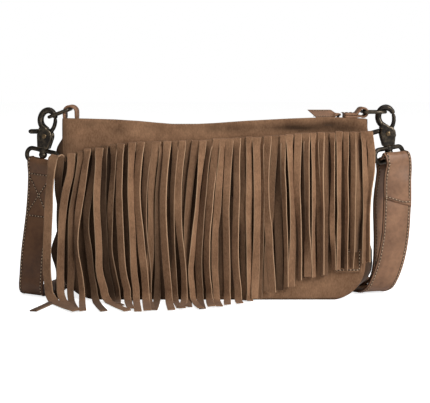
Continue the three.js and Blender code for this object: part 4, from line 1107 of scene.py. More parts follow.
    def _patch(self) -> None:
        """Makes the bare patch and the thread round its border."""
        spec = self.PATCH
        x, z = np.meshgrid(
            spec["x"] + np.linspace(-0.5, 0.5, 21) * spec["width"],
            spec["z"] + np.linspace(-0.5, 0.5, 17) * spec["height"],
        )
        edge = np.minimum(spec["width"] / 2 - np.abs(x - spec["x"]), spec["height"] / 2 - np.abs(z - spec["z"]))
        dent = spec["dent"] * np.exp(-(((edge - spec["inset"]) / spec["dent_run"]) ** 2))
        out = BODY.gap + 0.9 * spec["thickness"] - dent
        grid = np.stack([x, -(panel_face_at(x, z) + out), z], axis=-1)
        shape = rounded_sheet(grid, -ACROSS, spec["thickness"])
        self.put("bare_patch", shape, self.materials.suede, "bag", Slot.SUEDE, "blank_patch")
        half = np.array([spec["width"], spec["height"]]) / 2 - spec["inset"]
        corners = np.array([(-1, -1), (1, -1), (1, 1), (-1, 1), (-1, -1)]) * half + (spec["x"], spec["z"])
        line = np.vstack([np.linspace(a, b, 12)[:-1] for a, b in zip(corners, corners[1:])] + [corners[-1:]])
        outwards = panel_face_at(line[:, 0], line[:, 1]) + out.max() + spec["lift"]
        self.sew("patch_stitches", [path_of(np.insert(line, 1, -outwards, axis=1), -ACROSS)])


# ---------------------------------------------------------------- the fringe


@dataclasses.dataclass(frozen=True)
class Strand:
    """One cut strip, read off the photo.

    Attributes:
        layer: 0 at the back to 2 at the front.
        width: its flat width.
        x: its middle at each of Fringe.LEVELS.
        turn: how far it is turned about its length there, in degrees, right edge forward.
        end: the height of its lower end, or where its tip lies on the floor.
    """

    layer: int
    width: float
    x: tuple[float, ...]
    turn: tuple[float, ...]
    end: float | tuple[float, float]

    @property
    def on_floor(self) -> bool:
        """Whether its end lies on the floor."""
        return isinstance(self.end, tuple)


class Fringe(Maker):
    """The band and the strands that fold over its top edge.

    The tones of the layers are painted shade, from the back to the front: the rear ones are darkened as if in the
    front one's shadow, and the front one is lightened a little. The first strand arches round the end of the band,
    and RIGHT_SLOPE is how the last one leans above the highest level.
    """

    LEVELS = (150, 130, 110, 90, 70, 50, 30, 10)
    STRANDS = (
        Strand(2, 8.6, (-161.2, -163.2, -165.4, -166.3, -167.2, -168.0, -168.2, -166.4),
               (24, 28, 25, 0, 0, 0, 14, 18), (-132.5, -78.5)),
        Strand(0, 8.0, (-155, -156.4, -157.2, -155.2, -156.0, -160.8, -157.2, -157.6),
               (10, 10, 22, 42, 42, 14, 46, 30), (-174.2, -73.0)),
        Strand(2, 7.6, (-143.5, -143.8, -148.8, -151.8, -153.2, -154.1, -154.9, -154.8),
               (0, -23, -4, -12, -34, -37, -30, -21), (-131.5, -72.9)),
        Strand(1, 7.0, (-132.3, -136, -139.6, -143.3, -144.3, -144.2, -144.4, -145.4),
               (-44, -48, -46, -50, -46, -34, -16, -29), (-135.5, -65.2)),
        Strand(2, 6.7, (-127, -130.3, -133.3, -136.5, -138.5, -138.3, -135.6, -133.4),
               (41, 20, 1, 17, 48, 55, 33, 22), (-126.2, -79.6)),
        Strand(1, 7.1, (-119, -121.7, -125, -128.6, -129, -126.4, -124.4, -121.3),
               (52, 44, 23, 20, 36, 20, 22, 19), (-106.3, -76.6)),
        Strand(2, 7.6, (-115.6, -116.6, -117.9, -118, -117, -116.2, -115.9, -111),
               (-48, -43, -36, -39, -32, -33, -30, 0), (-84.0, -75.9)),
        Strand(0, 5.9, (-111, -111.2, -111.8, -111.7, -111, -110.1, -108.6, -104.4),
               (41, 25, 23, 8, 23, 14, 12, 14), (-91.5, -53.5)),
        Strand(1, 6.0, (-101.3, -102, -103.6, -105, -105, -104.7, -101.4, -97.4),
               (33, 33, 17, 4, 44, 55, 50, 47), (-95.6, -51.5)),
        Strand(2, 7.3, (-94.6, -95.4, -96, -95.8, -95, -94, -92.4, -88),
               (35, 25, 27, 16, 24, 24, 20, 6), (-81.3, -69.1)),
        Strand(0, 5.0, (-89.6, -90, -90.6, -90, -89.4, -88.4, -87, -84.6),
               (34, 26, 9, 21, 30, 31, 26, 26), (-85.9, -51.5)),
        Strand(2, 7.1, (-83.2, -84.2, -84.3, -83.8, -82.7, -82.2, -81.5, -79.3),
               (-34, -42, -36, -40, -34, -33, -21, -13), (-74.0, -76.6)),
        Strand(2, 7.5, (-75.2, -77.2, -78.1, -77.1, -75.2, -73.5, -71.3, -69.9),
               (30, 29, 32, 32, 16, 5, 14, 18), (-65.2, -74.0)),
        Strand(1, 6.8, (-67.1, -69.4, -70.9, -71.1, -70.3, -68.5, -66.6, -66.5),
               (8, 27, 28, 42, 57, 55, 52, 49), 9.4),
        Strand(1, 7.0, (-59.9, -62.8, -64.2, -64.2, -64.4, -65.2, -66.1, -67.6),
               (-14, -17, -18, -29, -22, -14, -36, -34), (-61.3, -69.1)),
        Strand(0, 7.1, (-53.5, -55.8, -57.5, -57.9, -57.8, -57.7, -57.5, -58.7),
               (-57, -52, -45, -41, -37, -34, -30, -21), (-59.2, -71.0)),
        Strand(2, 7.6, (-48.8, -50.7, -52.1, -52.4, -51.7, -50.6, -49, -47.1),
               (25, 31, 28, 33, 31, 23, 17, 16), (-42.5, -71.3)),
        Strand(1, 5.9, (-40.2, -41.9, -43.2, -43.5, -43, -42.4, -41.9, -40.9),
               (28, 33, 37, 44, 49, 50, 23, 16), (-35.2, -62.5)),
        Strand(2, 6.9, (-33.9, -36.1, -37.4, -37.5, -36.3, -34, -32.1, -31.5),
               (15, 17, 19, 5, 28, 31, 36, 30), (-32.6, -67.1)),
        Strand(0, 4.7, (-27.5, -30, -31.6, -32.3, -31.3, -29.5, -27.9, -26.6),
               (-21, -28, -33, -39, -21, -28, -36, -37), (-25.1, -61.4)),
        Strand(1, 7.1, (-20.8, -24.1, -26.2, -27.9, -28.9, -28.7, -28.3, -27.5),
               (-8, -10, -18, -28, -35, -42, -47, -47), (-27.0, -61.4)),
        Strand(2, 6.8, (-13.7, -15.6, -17.4, -19.1, -21.4, -23.2, -24.9, -23.2),
               (-10, -45, -61, -61, -55, -48, -44, -38), (-14.9, -67.1)),
        Strand(1, 7.1, (-7.6, -9.9, -11.8, -14.1, -15.6, -17.1, -17.1, -15.9),
               (47, 50, 43, 36, 29, 22, 21, 13), (-13.0, -66.0)),
        Strand(2, 7.6, (-0.5, -3, -5.4, -6.9, -8.4, -9.1, -8.8, -6.7),
               (12, 19, 27, 31, 43, 36, 39, 36), (-4.4, -59.4)),
        Strand(2, 7.0, (6.1, 4.3, 2.6, 1.1, -0.6, -1.1, -0.9, 0.6),
               (-47, -32, -21, -6, -29, -6, -19, -29), (3.4, -58.6)),
        Strand(0, 5.1, (6.7, 4.3, 3.4, 4, 4.8, 5, 5.1, 5.3),
               (36, 30, 35, 30, 21, 11, 3, 0), 5.0),
        Strand(2, 7.1, (12.8, 11.5, 10.5, 9.8, 10.2, 10.5, 10.9, 11.1),
               (11, 10, 10, 22, 25, 24, 27, 36), (11.2, -54.3)),
        Strand(2, 7.4, (20.6, 20.4, 20.5, 19.9, 19.3, 19, 20, 22.2),
               (35, 33, 28, 33, 32, 29, 28, 22), (23.5, -46.3)),
        Strand(1, 5.8, (26.7, 26.3, 26.8, 26.5, 26.7, 26.5, 27, 27.7),
               (6, 25, 26, 4, 29, 29, 28, 25), -0.2),
        Strand(2, 6.4, (32.7, 32.8, 32.8, 32.5, 32.7, 32.9, 32.9, 33.5),
               (-27, -24, -10, -23, -33, -37, -42, -33), (33.7, -37.4)),
        Strand(2, 7.6, (40.2, 40.7, 41, 41, 40.6, 40.1, 39.4, 38.7),
               (-26, -24, -22, -23, -27, -18, 0, -26), 3.2),
        Strand(1, 4.8, (45.2, 45.7, 46.1, 45.8, 45.6, 45, 44.2, 43.7),
               (48, 42, 37, 37, 37, 28, 6, 15), 2.3),
        Strand(2, 7.5, (50.3, 49.2, 49.1, 50.1, 52.2, 53.2, 54.8, 56.3),
               (21, 27, 27, 26, 7, 22, 22, 27), 9.5),
        Strand(1, 7.0, (58, 56.3, 55.1, 54.5, 52.9, 51.4, 50.7, 50.6),
               (-20, -20, -22, -31, -28, -25, -23, 0), 10.9),
        Strand(0, 7.6, (62.2, 61.9, 61.6, 61.6, 61.9, 62.6, 63.3, 63.7),
               (63, 50, 35, 3, 0, 0, 0, 0), 11.0),
        Strand(2, 5.9, (66, 66.2, 67.2, 67.8, 68.8, 69.5, 69.6, 69.7),
               (24, 49, 46, 51, 50, 50, 48, 44), 14.9),
        Strand(2, 7.6, (73.1, 74.1, 75.1, 75.9, 76.4, 76, 75, 74.3),
               (-39, -45, -50, -47, -37, -27, -21, 0), 15.4),
        Strand(2, 6.8, (80.8, 80.2, 80.2, 81.5, 82.9, 83.3, 83.2, 83.2),
               (13, 8, 24, 41, 67, 68, 65, 65), 21.9),
        Strand(0, 6.4, (85.7, 85.8, 85.9, 86.2, 86.5, 86.6, 85.9, 85.9),
               (72, 59, 45, 43, 43, 43, 0, 0), 23.1),
        Strand(2, 7.6, (89, 89.2, 89.7, 89.9, 90.3, 91.1, 91.2, 91.2),
               (37, 41, 48, 55, 53, 29, 0, 0), 25.1),
        Strand(2, 5.7, (96.3, 96.6, 97, 96.9, 96.6, 97, 97.4, 97.4),
               (-42, -51, -41, -53, -55, -50, -48, -48), 24.4),
        Strand(1, 5.2, (99.8, 100.5, 101.4, 102.2, 102.5, 102.8, 103.2, 103.2),
               (54, 44, 29, 7, 18, 28, 31, 31), 26.0),
        Strand(2, 6.6, (103.8, 103.7, 104.4, 105.7, 105.8, 105.9, 106, 106),
               (31, 47, 59, 75, 75, 75, 75, 75), 27.4),
        Strand(1, 6.4, (109.3, 109.1, 109.1, 109.3, 108.9, 108.5, 108.5, 108.5),
               (-44, -38, -26, -24, -7, -19, -12, -11), 25.2),
        Strand(2, 5.2, (115.4, 115.8, 115.4, 115.1, 115.4, 116.5, 117.2, 117.2),
               (45, 59, 42, 18, 1, 45, 49, 49), 31.7),
        Strand(2, 6.6, (121.9, 121.9, 122, 122.3, 122.2, 122, 121.7, 121.7),
               (-35, -41, -45, -55, -48, -49, -46, -46), 32.0),
        Strand(2, 5.4, (128.8, 128.9, 129.3, 129.6, 129.4, 129.2, 128.9, 128.9),
               (18, 56, 59, 57, 63, 61, 50, 50), 31.1),
        Strand(0, 5.7, (125.8, 126.4, 126.7, 126.8, 126.7, 126.4, 126.3, 126.3),
               (44, 27, 15, 29, 38, 45, 48, 48), 32.7),
        Strand(2, 5.7, (135.8, 136.1, 136, 135.7, 135.6, 135.3, 134.4, 134.4),
               (31, 33, 33, 34, 38, 42, 53, 53), 33.4),
        Strand(1, 7.1, (141, 141.4, 141.8, 141.8, 140.6, 140.2, 140.2, 140.2),
               (-47, -42, -28, -19, -47, -53, -53, -53), 49.1),
        Strand(2, 6.7, (147, 147.8, 148.7, 148.6, 147.8, 147.9, 148, 148),
               (-41, -33, -10, -32, -42, -38, -37, -37), 38.3),
        Strand(2, 7.2, (154.0, 154.0, 151.8, 150.6, 150.4, 150.7, 151.0, 151.0),
               (8, 24, 48, 60, 56, 58, 58, 58), 39.6),
    )
    # Painted shade of the rear layers and painted light of the front one.
    LAYER_PAINTED_SHADE = (-0.57, -0.27, 0.08)
    SEED = 7
    BAND_SHADE = -0.84
    BAND_INSET = 4.5
    BASE_WIDTH = 7.6
    CUP = 0.2
    CREASE = 28.0
    FLOOR_FRONT = -77.2
    LOWEST_END = 1.0
    RIGHT_END = 150.0
    RIGHT_SLOPE = -0.16
    ARCH, ARCH_LIFT = 9.0, 3.0
    UNEVEN_CREST, UNEVEN_TONE = 0.7, 0.06
    SWAY, SWAY_LENGTH = 0.35, 19.0
    REAR_WIDER, FRONT_WIDER = 0.22, 0.05
    # Painted shade that darkens the strands towards the left end, away from the key light.
    LEFT_DARK, LEFT_RUN = 0.22, (-165, -40)
    END_DARK = 0.1
    FLOOR_LIFT, FLOOR_LAYER = 1.1, 0.4
    CURL = 1.2

    def __init__(self, materials: Materials, tools: PathTools, nodes: dict) -> None:
        """Starts the fringe's own random draws."""
        super().__init__(materials, tools, nodes)
        self.random = np.random.default_rng(self.SEED)

    def build(self) -> None:
        """Makes the band and the two layers of strands."""
        self.put("fringe_backing", self._band(), self.materials.suede, "bag", Slot.SUEDE, "fringe_band")
        paths = [self._path(strand, number) for number, strand in enumerate(self.STRANDS)]
        front = [p for p, s in zip(paths, self.STRANDS) if s.layer == 2]
        rear = [p for p, s in zip(paths, self.STRANDS) if s.layer < 2]
        self._strands("front", front, Slot.SUEDE)
        # Their material is the plain suede; their darkening is painted shade from their "shade".
        self._strands("rear", rear, Slot.DARK_SUEDE)
        LOG.info("%d strands made", len(paths))

    def _strands(self, word: str, paths: list[Shape], slot: Slot) -> None:
        """Makes the strands that lie in front or behind.

        Args:
            word: "front" or "rear".
            paths: the middle lines of the strands.
            slot: the slot for them; it is not used.
        """
        inputs = {
            "Width": self.BASE_WIDTH * MM,
            "Thickness": FRINGE.strand_thickness * MM,
            "Cup": self.CUP * MM,
            "Material": self.materials.suede,
        }
        made = self.tools.run(f"fringe_strands_{word}", self.tools.strands, paths, inputs, self.CREASE)
        settle(made, "bag", slot, f"fringe_{word}")

    def _band(self) -> Shape:
        """The band that the strands hang over."""
        along, down = np.meshgrid(np.linspace(-FRINGE.half, FRINGE.half, 91), np.linspace(0.0, 1.0, 21))
        z = crest_at(along) - self.BAND_INSET - down * (FRINGE.band_drop - self.BAND_INSET)
        out = panel_face_at(along, z) + BODY.gap + FRINGE.band_thickness / 2
        grid = np.stack([along, -out, z], axis=-1)
        return rounded_sheet(grid, -ACROSS, FRINGE.band_thickness, np.full(along.shape, self.BAND_SHADE))

    def _path(self, strand: Strand, number: int) -> Shape:
        """The middle line of a strand with the direction of its face, its breadth and its tone."""
        out = FRINGE.first_layer + FRINGE.layer_step * strand.layer
        inner = BODY.gap + FRINGE.strand_thickness / 2 - 0.1
        radius = (out - inner) / 2
        dense = catmull(np.column_stack([strand.x, strand.turn, self.LEVELS]), 6, False)[::-1]
        slope = (strand.x[0] - strand.x[1]) / (self.LEVELS[0] - self.LEVELS[1])
        slope = slope if strand.x[0] < self.RIGHT_END else self.RIGHT_SLOPE

        def x_at(z: Array) -> Array:
            """The strand's middle at a height."""
            return np.interp(z, dense[:, 2], dense[:, 0]) + slope * np.maximum(z - self.LEVELS[0], 0)

        top_x = float(x_at(160.0)) if 0 < number < len(self.STRANDS) - 1 else strand.x[0]
        uneven = self.random.uniform(-self.UNEVEN_CREST, self.UNEVEN_CREST)
        crest = float(crest_at(top_x)) - FRINGE.strand_thickness / 2 + uneven
        centre = crest - radius
        arch, lift = (0.0, 0.0) if number else (self.ARCH, self.ARCH_LIFT)
        stop = FRINGE.floor_turn if strand.on_floor else max(strand.end, self.LOWEST_END)
        down = np.linspace(centre, stop, max(int((centre - stop) / FRINGE.step), 2) + 1)
        x = x_at(down)
        sway = self.SWAY * np.sin(down / self.SWAY_LENGTH + self.random.uniform(0, 6))
        sway = sway * smooth_step(centre - down, 0, 25)
        y = -(panel_face_at(x, down) + out + sway)
        hanging = np.stack([x, y, down], axis=1)
        turns = np.interp(down, dense[:, 2], dense[:, 1]) * smooth_step(centre - down, -2, 9)
        over = np.radians(np.linspace(0.0, 180.0, 7))[:-1]
        crown = np.stack([x[0] + arch * (1 + np.cos(over)) / 2, y[0] + radius + radius * np.cos(over),
                          centre + (radius + lift) * np.sin(over)], axis=1)
        line = np.vstack([crown[:1] - (0, 0, 1.0 + lift), crown, hanging])
        turns = np.concatenate([np.zeros(len(crown) + 1), turns])
        if strand.on_floor:
            floor, floor_turns = self._floor_run(strand, hanging[-1], float(turns[-1]))
            line, turns = np.vstack([line, floor]), np.concatenate([turns, floor_turns])
        along = tangents_of(line)
        base = unit(np.cross(along, np.tile(X_AXIS, (len(line), 1))))
        angle = np.radians(turns)[:, None]
        face = unit(np.cos(angle) * base - np.sin(angle) * np.cross(base, along))
        top = 1 - smooth_step(crest - line[:, 2], 4.0, 26.0)
        return Shape(line, [], {"face": face, **self._looks(strand, number, line, top)})

    def _looks(self, strand: Strand, number: int, line: Array, top: Array) -> dict[str, Array]:
        """The breadth of a strand, and its tone with painted shade: rear ones are darker, and broader and paler at
        their tops.
        """
        share = np.linspace(0.0, 1.0, len(line))
        rear = strand.layer < 2
        broad = strand.width / self.BASE_WIDTH * (1 + 0.03 * np.sin(9 * share + number))
        broad = broad * (1 + (self.REAR_WIDER if rear else self.FRONT_WIDER) * top)
        # Painted shade: strands further left, away from the key light, are darker.
        away = self.LEFT_DARK * (1 - smooth_step(line[:, 0], *self.LEFT_RUN))
        own = self.random.uniform(-self.UNEVEN_TONE, self.UNEVEN_TONE)
        # Painted shade for the rear layers, less at their tops, and painted light for the front one; each strand also
        # gets a random tone of its own.
        tone = self.LAYER_PAINTED_SHADE[strand.layer] * (1 - 0.5 * rear * top) + own - away
        tone = tone - self.END_DARK * smooth_step(share, 0.3, 1.0)
        # Painted light: the painted shade of rear strands is lifted where their tips lie out on the floor.
        if strand.on_floor and rear:
            tone = tone + (0.3 - 0.2 * strand.layer) * smooth_step(share, 0.82, 0.95)
        return {"broad": broad, "shade": tone}

    def _floor_run(self, strand: Strand, start: Array, turn: float) -> tuple[Array, Array]:
        """The end of a strand that lies forward on the floor and curls a little at its tip."""
        steps = np.linspace(0.0, 1.0, 13)[1:]
        turns = turn * (1 - 0.9 * smooth_step(steps, 0.0, 0.7))
        rise = np.abs(np.sin(np.radians(turns))) * strand.width / 2
        height = self.FLOOR_LIFT + rise + self.FLOOR_LAYER * strand.layer
        curl = self.random.uniform(0.0, self.CURL) * smooth_step(steps, 0.75, 1.0)
        last = np.array([strand.end[0], max(strand.end[1], self.FLOOR_FRONT), 0.0])
        first = start * (1, 1, 0)
        second = first * 0.55 + last * 0.45
        s = steps[:, None]
        flat = (1 - s) ** 3 * start + 3 * (1 - s) ** 2 * s * first + 3 * (1 - s) * s**2 * second + s**3 * last
        flat[:, 2] = np.maximum(flat[:, 2] * (1 - smooth_step(steps, 0.3, 0.9)), height) + curl
        return flat, turns


# ---------------------------------------------------------------- the zip


class Zip(Maker):
    """Tapes, teeth, slider, puller and the stitched pull tab."""

    LEVEL = 174.3
    ENDS = (-135.0, 135.0)
    TAPE_THICKNESS = 0.8
    TAPE_EDGE = 1.6
    TEETH_INSET, TEETH_END, TEETH_OFF = 3.0, 119.7, 0.75
    TOOTH_PITCH = 2.7
    TOOTH = (1.2, 3.0, 1.9)
    FOOT = np.array([120.9, 0.0, 178.6])
    HEAD = np.array([123.4, 0.0, 184.6])
    WIRE = 0.8
    HALF_WIDTH = 4.0
    CORNER = 1.2
    TAB = {"length": 26.3, "width": 11.6, "thickness": 3.0, "tongue": 5.4, "twist": 42.0, "slant": 1.1}
    TONGUE = ((-1.9, -1.2, 0.0, 3.0), (1.3, 2.2, 2.9, 3.0))
    TAB_ROW, TAB_STITCH = 1.8, (2.4, (1.8, 0.6, 0.6))

    def build(self) -> None:
        """Makes the zip's pieces. The slider is the CAD one, with a finish."""
        for side, word in ((-1, "front"), (1, "back")):
            self._tape(side, word)
        self.dress("zip_slider", self.materials.gunmetal, Slot.GUNMETAL)
        self._puller()
        self._tab()
        LOG.info("zip made")

    def _tape(self, side: int, word: str) -> None:
        """Makes one tape and its row of teeth.

        Args:
            side: -1 for the front, 1 for the back.
            word: the same, in the names of the pieces.
        """
        wall = float(half_depth_at(self.LEVEL)) - BODY.suede - BODY.gap
        x, across = np.meshgrid(np.linspace(*self.ENDS, 91), np.linspace(self.TAPE_EDGE, wall, 9))
        grid = np.stack([x, side * across, self.LEVEL + 0 * x], axis=-1)
        tape = rounded_sheet(grid, UP, self.TAPE_THICKNESS)
        self.put(f"zip_tape_{word}", tape, self.materials.tape, "bag", Slot.ZIP_CLOTH, f"zip_half_{word}")
        start = self.ENDS[0] + self.TEETH_INSET + (self.TOOTH_PITCH / 2 if side < 0 else 0.0)
        line = np.array([[x, side * self.TEETH_OFF, self.LEVEL] for x in (start, self.TEETH_END)])
        inputs = {"Pitch": self.TOOTH_PITCH * MM, "Size": [s * MM for s in self.TOOTH]}
        inputs["Material"] = self.materials.gunmetal
        teeth = self.tools.run(f"zip_teeth_{word}", self.tools.teeth, [path_of(line, UP)], inputs)
        settle(teeth, "bag", Slot.ZIP_CLOTH)

    def _puller(self) -> None:
        """Makes the wire link between the slider and the tab."""
        rise = self.HEAD - self.FOOT
        height = float(np.linalg.norm(rise))
        rise = rise / height
        side, high = self.HALF_WIDTH - self.CORNER, height - self.CORNER
        centres = ((side, high), (-side, high), (-side, self.CORNER), (side, self.CORNER))
        flat = np.vstack([arc(place, self.CORNER, 90 * i, 90 * i + 90, 7) for i, place in enumerate(centres)])
        line = self.FOOT + ACROSS * flat[:, :1] + rise * flat[:, 1:]
        shape = wire_loop(line, np.cross(ACROSS, rise), self.WIRE, 14)
        self.put("puller_link", shape, self.materials.gunmetal, "puller", Slot.GUNMETAL, "zip_puller")

    def _tab(self) -> None:
        """Makes the leather tab, which twists as it leaves its tongue on the link, and its stitches."""
        spec = self.TAB
        away = np.concatenate([self.TONGUE[0][:3], np.linspace(2.0, spec["length"], 27)])
        turned = smooth_step(away, 2.0, 9.0) * math.radians(spec["twist"])
        width = spec["tongue"] + (spec["width"] - spec["tongue"]) * smooth_step(away, 0.8, 4.5)
        thick = np.interp(away, *self.TONGUE)
        line = self.HEAD - away[:, None] * X_AXIS
        wide = np.stack([0 * away, np.cos(turned), np.sin(turned)], axis=1)
        deep = np.stack([0 * away, -np.sin(turned), np.cos(turned)], axis=1)
        profile = np.stack([rounded_bar(w, t, min(0.6, t / 2.2)) for w, t in zip(width, thick)])
        shape = sweep(line, wide, deep, profile)
        rise = shape.points[:, 2] - self.HEAD[2]
        cut = smooth_step(self.HEAD[0] - shape.points[:, 0], 12.0, spec["length"])
        shape.points[:, 0] -= spec["slant"] * rise * cut
        self.put("pull_tab", shape, self.materials.leather, "tab", Slot.STRAP, "zip_pull_tab")
        keep = np.nonzero(away > 7.0)[0][:-1]
        line, wide, deep, width = line[keep], wide[keep], deep[keep], width[keep]
        paths = []
        for face in (1, -1):
            for edge in (1, -1):
                inset = edge * (width / 2 - self.TAB_ROW)
                rows = line + wide * inset[:, None] + deep * (face * (spec["thickness"] / 2 + self.STITCH_LIFT))
                paths.append(path_of(rows, deep * face))
        self.sew("tab_stitches", paths, "tab", *self.TAB_STITCH)


# ---------------------------------------------------------------- rings, loops and hooks


def snap_frame(side: str, turn: float) -> tuple[Array, Array]:
    """Where a snap hook's frame stands, and its directions as the columns of a matrix."""
    place = SNAPS[side]
    origin = np.array([place.sign * (HALF_LENGTH + place.out), 0.0, BODY.height - place.drop])
    lean = np.array(Matrix.Rotation(math.radians(place.tilt), 3, "Y"))
    return origin, lean @ np.array(Matrix.Rotation(math.radians(turn), 3, "Z"))


def snap_points(side: str, turn: float, points: Array) -> Array:
    """Moves points from a snap hook's frame into the part's frame."""
    origin, directions = snap_frame(side, turn)
    return points @ directions.T + origin


class Hardware(Maker):
    """D-rings in their leather loops, and the swivel snap hooks with the eyes of the strap."""

    LOOP_WIDTH, LOOP_NECK = 19.0, 5.4
    LOOP_LEATHER, LOOP_ROUND, LOOP_ROW = 2.3, 0.7, 2.2
    LOOP_SUNK = 0.5
    NECK_RUN = (180.2, 183.0)
    RIGHT_LOOP = {"x": 146.5, "z": 186.9, "radius": 4.3, "tail": 18.4, "slit": 0.25, "turn": 125.0}
    LEFT_LOOP = {"x": -145.5, "z": 187.3, "radius": 5.9, "foot": BODY.height - 3.5}
    RINGS = {"right": (147.816, 187.221, 0.0), "left": (-146.908, 189.949, math.pi - math.radians(21.0))}
    RING_HALF, RING_REACH, RING_CORNER = 12.0, 22.1, 2.0
    RING_WIRE, RING_WEAR = 3.3, 0.15
    PIVOT = 14.7
    HALF_HOOK = 4.1
    PIN = 1.25
    PIN_HEAD, PIN_DOME, PIN_LIFT = 2.6, 1.3, 0.3
    NOSE = ((6.9, 37.2), (7.0, 36.2), (7.1, 35.4), (7.25, 34.7))
    NOSE_WIRE = (1.2, 2.1)
    THICKER = {"hook": 1.05, "trigger": 0.5, "eye": 0.3}
    VOXEL = 0.36
    SOFTEN = (0.5, 7)
    CHAMFER = 0.5

    def build(self) -> None:
        """Makes the loops, rings, hooks, triggers, rivets and eyes of both sides."""
        self._right_loop()
        self._left_loop()
        for side in SNAPS:
            self._ring(side)
            self._cast(f"cast_hook_{side}", self._long_nose(side), "hook", f"snap_{side}", f"hook_{side}")
            trigger = self.nodes[f"trigger_{side}"].data.copy()
            self._cast(f"cast_trigger_{side}", trigger, "trigger", f"gate_{side}", f"trigger_{side}")
            self._rivet(side)
            self._eye(side)
            self.dress(f"trigger_spring_{side}", self.materials.steel, Slot.STEEL)
        LOG.info("hardware made")

    def _loop(self, name: str, flat: Array, node: str) -> None:
        """Makes a leather loop.

        Args:
            name: the piece's name.
            flat: its middle line, as x and z.
            node: the CAD node that it stands for.
        """
        line = upright(flat)
        wide = np.tile(ACROSS, (len(line), 1))
        thick = np.cross(tangents_of(line), wide)
        widths = self.LOOP_WIDTH - self.LOOP_NECK * (1 - smooth_step(line[:, 2], *self.NECK_RUN))
        profile = np.stack([rounded_bar(width, self.LOOP_LEATHER, self.LOOP_ROUND) for width in widths])
        shape = sweep(line, wide, thick, profile)
        self.put(name, shape, self.materials.leather, "bag", Slot.STRAP, node)

    def _right_loop(self) -> None:
        """Makes the right loop, which lies flat over the zip's end, and its stitches."""
        spec = self.RIGHT_LOOP
        layer = (spec["slit"] + self.LOOP_LEATHER) / 2
        low = BODY.height - self.LOOP_SUNK + self.LOOP_LEATHER / 2
        straight = spec["x"] - np.linspace(spec["tail"], spec["radius"] * 1.5, 6)
        under = np.stack([straight, np.full(6, low)], axis=1)
        over = np.stack([straight[::-1], np.full(6, low + 2 * layer)], axis=1)
        bend = arc((spec["x"], spec["z"]), spec["radius"], -spec["turn"], spec["turn"], 25)
        self._loop("leather_loop_right", np.vstack([under, bend, over]), "ring_loop_right")
        inset, face = self.LOOP_WIDTH / 2 - self.LOOP_ROW, UP * (self.LOOP_LEATHER / 2 + self.STITCH_LIFT)
        self.sew("loop_stitches", [path_of(upright(over) + ACROSS * way * inset + face, UP) for way in (1, -1)])

    def _left_loop(self) -> None:
        """Makes the left loop, which stands upright."""
        x, z, radius, foot = self.LEFT_LOOP.values()
        rise = np.linspace(foot, z, 9)[:-1]
        right = np.stack([np.full(8, x + radius), rise], axis=1)
        left = np.stack([np.full(8, x - radius), rise[::-1]], axis=1)
        self._loop("leather_loop_left", np.vstack([right, arc((x, z), radius, 0, 180, 25), left]), "ring_loop_left")

    def _ring(self, side: str) -> None:
        """Makes the D-ring of a side."""
        x, z, turn = self.RINGS[side]
        corner, half = self.RING_CORNER, self.RING_HALF
        bar = [(0.0, y) for y in np.linspace(8.0, -8.0, 9)]
        flat = np.vstack([
            arc((corner, corner - half), corner, 180, 270, 8),
            arc((self.RING_REACH - half, 0.0), half, -90, 90, 33),
            arc((corner, half - corner), corner, 90, 180, 8),
            bar,
        ])
        rotation = np.array(Matrix.Rotation(turn, 3, "Y"))
        points = np.insert(flat, 2, 0.0, axis=1) @ rotation.T + (x, 0.0, z)
        shape = wire_loop(points, rotation @ UP, self.RING_WIRE / 2, 22)
        made = mesh_object(f"d_ring_{side}_bar", shape, self.materials.gunmetal)
        mark_wear(made.data, self.RING_WEAR)
        settle(made, f"ring_{side}", Slot.GUNMETAL, f"d_ring_{side}")

    def _long_nose(self, side: str) -> bpy.types.Mesh:
        """The hook, with its nose carried on until it meets the gate at rest."""
        mesh = self.nodes[f"hook_{side}"].data
        places = np.empty(len(mesh.vertices) * 3, np.float32)
        mesh.vertices.foreach_get("co", places)
        hook = Shape(places.reshape(-1, 3) / MM, [list(face.vertices) for face in mesh.polygons])
        line = catmull(upright(self.NOSE), 5, True)
        wide = np.tile(ACROSS, (len(line), 1))
        tip = sweep(line, np.cross(wide, tangents_of(line)), wide, circle(1.0, 14) * self.NOSE_WIRE)
        tip.points = snap_points(side, SNAPS[side].hook_turn, tip.points)
        return self._raw_mesh(join_shapes([hook, tip]))

    def _raw_mesh(self, shape: Shape) -> bpy.types.Mesh:
        """A plain mesh of a shape, with its faces pointing out."""
        raw = mesh_object("raw", shape, self.materials.gunmetal)
        mesh = raw.data.copy()
        bpy.data.objects.remove(raw)
        return mesh

    def _cast(self, name: str, mesh: bpy.types.Mesh, kind: str, body: str, node: str) -> None:
        """Rounds a mesh off as a casting: remeshed finely, smoothed, and rubbed bright on its edges."""
        carrier = link_object(name + "_raw", mesh)
        remesh = carrier.modifiers.new("remesh", "REMESH")
        remesh.mode = "VOXEL"
        remesh.voxel_size = self.VOXEL * MM
        thicken = carrier.modifiers.new("thicken", "DISPLACE")
        thicken.mid_level = 0.0
        thicken.strength = self.THICKER[kind] * MM
        soften = carrier.modifiers.new("soften", "SMOOTH")
        soften.factor, soften.iterations = self.SOFTEN
        made = finished_object(name, apply_modifiers(carrier), self.materials.gunmetal)
        mark_wear(made.data, 0.0)
        settle(made, body, Slot.GUNMETAL, node)

    def _rivet(self, side: str) -> None:
        """Makes the domed rivet that a trigger turns on."""
        reach = self.HALF_HOOK + BODY.gap + self.PIN_LIFT
        dome = arc((0.0, 0.0), 1.0, 0, 80, 7) * (self.PIN_HEAD, self.PIN_DOME) + (0.0, reach)
        half = np.vstack([(self.PIN, reach), dome])
        shape = turned_pin(np.vstack([half[::-1] * (1, -1), half]))
        points = shape.points[:, [0, 2, 1]] * (1, -1, 1) + (0, 0, self.PIVOT)
        shape.points = snap_points(side, SNAPS[side].hook_turn, points)
        self.put(f"rivet_{side}_domed", shape, self.materials.brass, f"snap_{side}", Slot.BRASS, f"rivet_{side}")

